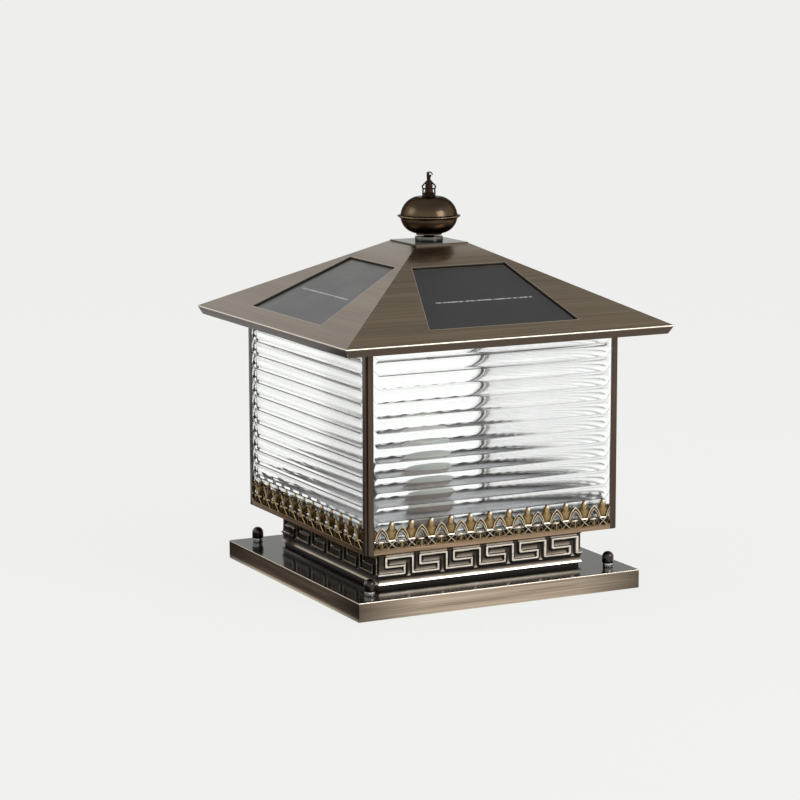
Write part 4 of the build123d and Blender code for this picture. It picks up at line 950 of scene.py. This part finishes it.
def roof_sheet(sizes):
    """The front roof sheet between its outer and inner faces, and the polish of its points. Down the sheet
    runs the section: the slope, a round fold at the eave and the lip. Across it each row runs from hip to
    hip, as wide as its distance from the axis. The columns follow the window's sides, and the window's cells
    are left out."""
    low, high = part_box("roof_sheet_front")
    eave, up, run = roof_slope()
    lip = np.array((sizes.lip_inset, -sizes.lip_drop)) / math.hypot(sizes.lip_inset, sizes.lip_drop)
    inward = np.array([(up[1], -up[0]), (-lip[1], lip[0])])
    inner_eave = eave + np.linalg.solve(inward, [sizes.roof_sheet, sizes.roof_sheet])
    rim = sizes.window_rim
    window_head = run - sizes.window_high
    climbs = np.array([window_head + rim, window_head, sizes.window_low, sizes.window_low - rim])
    (_, low_half), (high_out, high_half) = roof_window(sizes)
    halves = np.interp(climbs, climbs[2:0:-1], (low_half, high_half))
    # Across a row, the sheet is divided at its hips, at the window's sides and at the rims beside these.
    across = np.concatenate([np.linspace(0, 1, 5), np.linspace(2, 3, 7), np.linspace(4, 5, 5)])
    share = np.stack([np.interp(across, np.arange(6), knot) for knot in np.eye(6)])
    outer_face = (eave, sizes.fold_radius, 0.0)
    inner_face = (inner_eave, 0.3 * sizes.fold_radius, sizes.roof_sheet)
    grids = []
    for bend, radius, sunk in (outer_face, inner_face):
        head = bend + up * (high.z - bend[1]) / up[1]
        foot = bend + lip * (low.z - bend[1]) / lip[1]
        window = eave + sunk * inward[0] + up * climbs[:, None]
        reach = 3 * sizes.fold_radius
        fold = rounded([bend + up * reach, bend, bend + lip * reach], radius, 7)[:-1]
        rows = np.concatenate([[head], window, fold, [foot]])
        hip = -rows[:, 0] - sizes.lip_gap * np.clip((bend[1] - rows[:, 1]) / (2 * sizes.fold_radius), 0, 1)
        side = np.array([high_half * -head[0] / high_out, *halves, *[low_half] * (len(rows) - 5)])
        x = np.stack([-hip, -side - rim, -side, side, side + rim, hip], axis=1) @ share
        y, z = (np.broadcast_to(column[:, None], x.shape) for column in rows.T)
        grids.append(np.stack([x, y, z], axis=2))
    # The window lies between its head and foot rows; a highlight is painted on its rim and on the fold.
    keep = np.ones((grids[0].shape[0] - 1, len(across) - 1), bool)
    keep[2, 5:11] = False
    shine = np.zeros(grids[0].shape[:2])
    shine[2:4, 5:12] = 0.6
    shine[6:-1] = np.sin(np.linspace(0, np.pi, 7))[:, None]
    return plate(*grids, keep), np.concatenate([shine.ravel(), np.zeros(shine.size)])


class LIGHT_OT_roof(bpy.types.Operator):
    """Model the four folded roof sheets, and finish the cap, the soffit and the solar panels"""

    bl_idname = "pillar_light.roof"
    bl_label = "Roof"

    def execute(self, context):
        colours, sizes = context.scene.light_colours, context.scene.light_sizes
        metal = {along: brushed_bronze_roof(colours, along) for along in "xy"}
        laminate = {along: solar_laminate(colours, roof_window(sizes), along) for along in "xy"}
        (points, faces), polish_and_painted_light = roof_sheet(sizes)
        for turn, side in enumerate(SIDES):
            along = "xy"[turn % 2]
            piece(
                f"folded_roof_{side}", (turned(points, turn), faces), metal[along], "roof", "roof_bronze",
                f"roof_sheet_{side}", polish_and_painted_light=polish_and_painted_light,
            )
            dress(laminate[along], f"solar_panel_{side}")
        # Polished plate on top: grey-brown, nearly a mirror.
        cap = finish(
            "polished_roof_cap", "#57534D", "#6A655E", (30, 30, 30), (0.06, 0.14),
            Metallic=1.0, Specular_Tint="#C4C4C2",
        )
        dress(cap, "roof_cap")
        # Powder coat under the roof: dark brown, fine orange peel.
        soffit = finish("powder_coated_soffit", "#2A211A", "#3A2F26", (1.5, 1.5, 1.5), (0.4, 0.55), 0.04)
        dress(soffit, "soffit_plate")
        # White powder coat: bright and matt, to throw the light down.
        white = finish("white_powder_coat", "#E9E9E6", "#F6F6F4", (1.5, 1.5, 1.5), (0.4, 0.55), 0.03)
        dress(white, "reflector_plate")
        # Cast aluminium blocks: pale grey, grainy.
        aluminium = finish(
            "cast_aluminium", "#8C8C8C", "#B4B4B4", (1.2, 1.2, 1.2), (0.35, 0.5), 0.04, Metallic=1.0
        )
        dress(aluminium, "roof_gussets")
        return {"FINISHED"}


class LIGHT_OT_control(bpy.types.Operator):
    """Finish the control box, the battery and the controls inside the roof"""

    bl_idname = "pillar_light.control"
    bl_label = "Control and battery"

    def execute(self, context):
        # Moulded ABS: black, fine spark texture.
        abs_black = finish("moulded_abs", "#161617", "#242426", (0.8, 0.8, 0.8), (0.42, 0.58), 0.03)
        dress(abs_black, "control_box", "control_lid", "battery_case")
        # Green solder mask with a weave that hardly shows.
        board = finish("green_solder_mask", "#0E4A2A", "#1A6B3E", (1.2, 1.2, 1.2), (0.25, 0.4), 0.01)
        dress(board, "circuit_board")
        # Shrink film on the cells: glossy blue.
        wrap = finish("blue_shrink_film", "#1D4E8F", "#2E68B4", (12, 12, 12), (0.18, 0.3), 0.01)
        dress(wrap, "battery_cells")
        # Dark red acrylic that passes the control signal: deep in colour and glossy.
        lens = finish(
            "red_acrylic_lens", "#3A0508", "#5A0A10", (4, 4, 4), (0.05, 0.12), IOR=1.49, Coat_Weight=0.5
        )
        dress(lens, "receiver_lens")
        # Soft-touch button: black and matt.
        button = finish("black_button_abs", "#0E0E0F", "#1B1B1C", (0.7, 0.7, 0.7), (0.4, 0.55), 0.02)
        dress(button, "power_button")
        return {"FINISHED"}


class LIGHT_OT_finial(bpy.types.Operator):
    """Turn the finial's collar and its two bowls"""

    bl_idname = "pillar_light.finial"
    bl_label = "Finial"

    def execute(self, context):
        colours, sizes = context.scene.light_colours, context.scene.light_sizes
        low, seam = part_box("finial_lower_bowl")
        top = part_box("finial_upper_bowl")[1].z
        foot, body, rim = sizes.finial_foot, sizes.finial_body, seam.x
        neck, neck_height, foot_height, rim_half = 5.0 * MM, 1.5 * MM, 1.4 * MM, 0.25 * MM
        bottom, bend = low.z + neck_height, low.z + neck_height + foot_height
        # The bowls are circles through the foot, the belly and the seam; a thin cone stands out at the seam.
        belly = (0.28 * foot + 0.72 * body, bend + 0.33 * (seam.z - bend))
        under = arc((foot, bend), belly, (body, seam.z), 40)
        under = under[under[:, 1] < seam.z - 2.4 * MM]
        stand = [(CORE, low.z), (neck, low.z), (neck, bottom), (foot, bottom), (foot, bend)]
        flange = [under[-1], (rim, seam.z - rim_half), (rim, seam.z), (CORE, seam.z)]
        lower = np.concatenate([rounded(stand, 0.5 * MM)[:-1], under, rounded(flange, 0.2 * MM)[1:]])
        shoulder = (0.3 * foot + 0.7 * body, seam.z + 0.64 * (top - seam.z))
        over = arc((body, seam.z), shoulder, (foot, top), 40)
        over = over[over[:, 1] > seam.z + 1.2 * MM]
        flange = [(CORE, seam.z), (rim, seam.z), (rim, seam.z + rim_half), over[0]]
        crest = [over[-1] - (0, 0.02 * MM), over[-1], (CORE, top)]
        upper = np.concatenate([rounded(flange, 0.2 * MM)[:-1], over[:-1], rounded(crest, 0.4 * MM)[1:]])

        def seam_highlight_and_top_shade(tree, place, colour):
            height = add(tree, "ShaderNodeSeparateXYZ", {0: place}).outputs[2]
            # Painted highlight on the seam's flange, and painted shade on the flat top.
            line = add(tree, "ShaderNodeMath", {0: height, 1: seam.z, 2: 0.6 * MM}, operation="COMPARE")
            flat = add(tree, "ShaderNodeMath", {0: height, 1: top - 0.4 * MM}, operation="GREATER_THAN")
            rubbed = {0: line.outputs[0], 6: colour, 7: "#A8977F"}
            lined = add(tree, "ShaderNodeMix", rubbed, data_type="RGBA")
            darkened = {0: flat.outputs[0], 6: lined.outputs[2], 7: "#0E0A07"}
            return add(tree, "ShaderNodeMix", darkened, data_type="RGBA").outputs[2]

        # Spun bronze, satin: dark brown with soft broad highlights, a painted highlight on the seam and
        # painted shade on the flat top.
        satin = finish(
            "spun_bronze_satin", "#4C3F30", tuple(colours.finial), (30, 30, 1.2), (0.2, 0.28), 0.002,
            (25, 25, 8), seam_highlight_and_top_shade, Metallic=1.0, Coat_Weight=0.1, Coat_Roughness=0.2, Specular_Tint="#7A7068",
        )
        for name, profile in (("lower", lower), ("upper", upper)):
            piece(
                f"finial_bowl_{name}", lathe(profile, 128), satin, "finial", "finial_bronze",
                f"finial_{name}_bowl", crease=50,
            )
        # Turned steel collar: grey, with a bright rim.
        steel = finish(
            "turned_steel_collar", "#4E4C4A", "#7C7A77", (8, 8, 0.5), (0.12, 0.24), 0.005,
            Metallic=1.0, Specular_Tint="#A8A8A6",
        )
        collar_low, collar_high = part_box("finial_collar")
        collar = disc(collar_high.x, collar_low.z, collar_high.z, 96)
        piece("finial_collar_ring", collar, steel, "roof", "bright_steel", "finial_collar")
        return {"FINISHED"}


class LIGHT_OT_crown(bpy.types.Operator):
    """Model the cast crown on the finial: a stem with four open handles, and a knob with a hook"""

    bl_idname = "pillar_light.crown"
    bl_label = "Crown"

    def execute(self, context):
        colours, sizes = context.scene.light_colours, context.scene.light_sizes
        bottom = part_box("finial_upper_bowl")[1].z
        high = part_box("finial_crown")[1]
        stroke, base, top = sizes.crown_stroke, high.x, high.z - bottom
        stem = [
            (0.05, 0), (7.2, 0), (6.9, 1.2), (4.6, 3.6), (3.7, 6.0), (3.7, 11.0), (2.6, 14.6), (1.6, 16.4),
            (1.8, 17.6), (0.05, 18.2),
        ]
        stem = rounded(np.array(stem) * MM, 1.0 * MM)
        shells = [lathe(stem + (0, bottom), 32)]
        knee, tip, neck = (5.6 * MM, 7.6 * MM), (base - stroke / 2, 9.8 * MM), (1.2 * MM, 15.6 * MM)
        handle = rounded([(0.8 * base, 1.0 * MM), knee, tip, neck], 0.8 * MM)
        brace = np.linspace(knee, (1.5 * MM, 7.0 * MM), 3)
        facing = -context.scene.light_stage.yaw
        for quarter in range(4):
            angle = facing + quarter * math.pi / 2
            for path in (handle, brace):
                shells.append(self.upright(tube(path, stroke, stroke, 0.0), angle, bottom))
        # The knob is a thick post and a short spur, and its hook curls over a small eye to the right.
        post = np.linspace((-0.8 * MM, 17.2 * MM), (-0.9 * MM, top - 2.0 * MM), 4)
        spur = np.linspace((0.2 * MM, 17.6 * MM), (1.5 * MM, top - 4.2 * MM), 3)
        hook = arc((-1.5 * MM, top - 1.6 * MM), (1.0 * MM, top - 0.9 * MM), (3.3 * MM, top - 3.2 * MM), 10)
        for path, width in ((post, 2.8 * MM), (spur, 2.0 * MM), (hook, 1.2 * MM)):
            shells.append(self.upright(tube(path, width, width, 0.0), facing, bottom))
        # Sand-cast bronze, from nearly black to dark brown.
        cast = finish(
            "cast_bronze_crown", "#1C140E", tuple(colours.cast), (2.5, 2.5, 2.5), (0.25, 0.45), 0.05,
            Metallic=1.0,
        )
        piece("finial_crown_casting", join(shells), cast, "finial", "dark_bronze", "finial_crown", crease=50)
        return {"FINISHED"}

    def upright(self, shell, angle, bottom):
        """A shell drawn in a plane of radius and height, stood up at an angle about Z and at a height."""
        points, faces = shell
        cos, sin = math.cos(angle), math.sin(angle)
        turn = np.array([(cos, sin, 0), (0, 0, 1), (sin, -cos, 0)])
        return points @ turn + (0, 0, bottom), faces


class LIGHT_OT_stage(bpy.types.Operator):
    """Set up the floor, the lights, the room and the camera"""

    bl_idname = "pillar_light.stage"
    bl_label = "Stage"

    def execute(self, context):
        scene, stage = context.scene, context.scene.light_stage
        scene.view_settings.view_transform = "Standard"
        self.floor(stage)
        self.flag(tuple(stage.flag))
        self.room(scene, stage)
        self.lamp("key_light", stage.key_power, Vector((0.40, -0.91, 0.45)))
        self.lamp("fill_light", stage.fill_power, Vector((-0.93, 0.36, 0.55)))
        camera = bpy.data.cameras.new("camera")
        camera.lens, camera.sensor_width = stage.lens, 36.0
        camera.clip_end = 200.0
        seat = bpy.data.objects.new("camera", camera)
        context.collection.objects.link(seat)
        aim = Euler((math.pi / 2 - stage.pitch, 0, -stage.yaw)).to_matrix().to_4x4()
        seat.matrix_world = Matrix.Translation(stage.place) @ aim @ Matrix.Rotation(stage.roll, 4, "Z")
        scene.camera = seat
        return {"FINISHED"}

    def seen_rays(self, tree):
        """One for camera, glossy and transmission rays, and nought for the rest."""
        path = add(tree, "ShaderNodeLightPath").outputs
        direct = {0: path["Is Camera Ray"], 1: path["Is Glossy Ray"]}
        direct = add(tree, "ShaderNodeMath", direct, operation="MAXIMUM")
        seen = {0: direct.outputs[0], 1: path["Is Transmission Ray"]}
        return add(tree, "ShaderNodeMath", seen, operation="MAXIMUM").outputs[0]

    def floor(self, stage):
        """A wide floor of matt paper. Seen directly, in metal or through glass, the paper mostly shows its
        own colour, so it stays pale under a shadow."""
        reach = 60.0
        corners = [(-reach, -reach, 0), (reach, -reach, 0), (reach, reach, 0), (-reach, reach, 0)]
        sheet = bpy.data.meshes.new("floor")
        sheet.from_pydata(corners, [], [(0, 1, 2, 3)])
        ground = bpy.data.objects.new("floor", sheet)
        bpy.context.collection.objects.link(ground)
        backdrop = tuple(stage.backdrop)
        paper, tree, _ = begin("pale_paper")
        glowing = {0: self.seen_rays(tree), 1: stage.paper_glow}
        share = add(tree, "ShaderNodeMath", glowing, operation="MULTIPLY")
        clear = add(tree, "ShaderNodeLightPath").outputs["Is Transmission Ray"]
        share = add(tree, "ShaderNodeMath", {0: share.outputs[0], 1: clear}, operation="MAXIMUM")
        matt = add(tree, "ShaderNodeBsdfDiffuse", {"Color": backdrop})
        gain = add(tree, "ShaderNodeMapRange", {0: clear, 3: 1.0, 4: stage.pane_gain}).outputs[0]
        glow = add(tree, "ShaderNodeEmission", {"Color": backdrop, "Strength": gain})
        shares = {0: share.outputs[0], 1: matt.outputs[0], 2: glow.outputs[0]}
        mixed = add(tree, "ShaderNodeMixShader", shares)
        add(tree, "ShaderNodeOutputMaterial", {"Surface": mixed.outputs[0]})
        sheet.materials.append(paper)

    def room(self, scene, stage):
        """A pale room that is darker overhead, where metal shows it."""
        world = bpy.data.worlds.new("room")
        scene.world = world
        world.use_nodes = True
        tree = world.node_tree
        tree.nodes.clear()
        way = add(tree, "ShaderNodeTexCoord").outputs["Generated"]
        height = add(tree, "ShaderNodeSeparateXYZ", {0: way}).outputs[2]
        overhead = {0: height, 1: 0.45, 2: 0.8, 3: 1.0, 4: stage.ceiling_strength}
        level = add(tree, "ShaderNodeMapRange", overhead)
        soft = add(tree, "ShaderNodeBackground", {"Color": "#FFFFFF", "Strength": stage.room_strength})
        pale = {"Color": tuple(stage.backdrop), "Strength": level.outputs[0]}
        pale = add(tree, "ShaderNodeBackground", pale)
        shares = {0: self.seen_rays(tree), 1: soft.outputs[0], 2: pale.outputs[0]}
        mixed = add(tree, "ShaderNodeMixShader", shares)
        add(tree, "ShaderNodeOutputWorld", {"Surface": mixed.outputs[0]})

    def flag(self, colour):
        """A dark sheet on the floor at the left, which shows only in glossy surfaces: a painted reflection of
        shade that darkens the metal's left faces.
        """
        left, inner, right = -0.75, -0.33, -0.1525
        near, middle, far = -0.25, 0.4, 1.0
        lift = 1 * MM
        outline = [(left, near), (right, near), (right, middle), (inner, middle), (inner, far), (left, far)]
        shade_sheet = bpy.data.meshes.new("flag")
        shade_sheet.from_pydata([(x, y, lift) for x, y in outline], [], [range(len(outline))])
        material, tree, _ = begin("painted_shade_flag")
        dim = add(tree, "ShaderNodeEmission", {"Color": colour, "Strength": 1.0})
        add(tree, "ShaderNodeOutputMaterial", {"Surface": dim.outputs[0]})
        shade_sheet.materials.append(material)
        made = bpy.data.objects.new("flag", shade_sheet)
        bpy.context.collection.objects.link(made)
        made.visible_camera = made.visible_diffuse = made.visible_shadow = made.visible_transmission = False

    def lamp(self, name, power, direction):
        """A square soft light at a distance from the light's middle, facing it."""
        distance, side = 2.0, 0.9
        light = bpy.data.lights.new(name, "AREA")
        light.energy, light.size = power, side
        made = bpy.data.objects.new(name, light)
        bpy.context.collection.objects.link(made)
        middle = (CAD_BOX[0] + CAD_BOX[1]) / 2
        made.location = middle + direction.normalized() * distance
        made.rotation_euler = (middle - made.location).to_track_quat("-Z", "Y").to_euler()


OPERATORS = (
    LIGHT_OT_base, LIGHT_OT_plinth, LIGHT_OT_body, LIGHT_OT_panes, LIGHT_OT_friezes, LIGHT_OT_lamp,
    LIGHT_OT_roof, LIGHT_OT_control, LIGHT_OT_finial, LIGHT_OT_crown, LIGHT_OT_stage,
)


class LIGHT_PT_pieces(bpy.types.Panel):
    """Buttons for the pieces, and the settings they use"""

    bl_label = "Pillar light"
    bl_idname = "LIGHT_PT_pieces"
    bl_space_type = "VIEW_3D"
    bl_region_type = "UI"
    bl_category = "Pillar light"

    def draw(self, context):
        for operator in OPERATORS:
            self.layout.operator(operator.bl_idname)
        for group in (context.scene.light_sizes, context.scene.light_colours, context.scene.light_stage):
            box = self.layout.box()
            for key in group.__annotations__:
                box.prop(group, key)


CLASSES = (LightSizes, LightColours, LightStage, *OPERATORS, LIGHT_PT_pieces)


def register():
    for item in CLASSES:
        bpy.utils.register_class(item)
    bpy.types.Scene.light_sizes = bpy.props.PointerProperty(type=LightSizes)
    bpy.types.Scene.light_colours = bpy.props.PointerProperty(type=LightColours)
    bpy.types.Scene.light_stage = bpy.props.PointerProperty(type=LightStage)


def unregister():
    del bpy.types.Scene.light_sizes
    del bpy.types.Scene.light_colours
    del bpy.types.Scene.light_stage
    for item in reversed(CLASSES):
        bpy.utils.unregister_class(item)


def main():
    register()
    for operator in OPERATORS:
        group, name = operator.bl_idname.split(".")
        getattr(getattr(bpy.ops, group), name)()


if __name__ == "__main__":
    main()
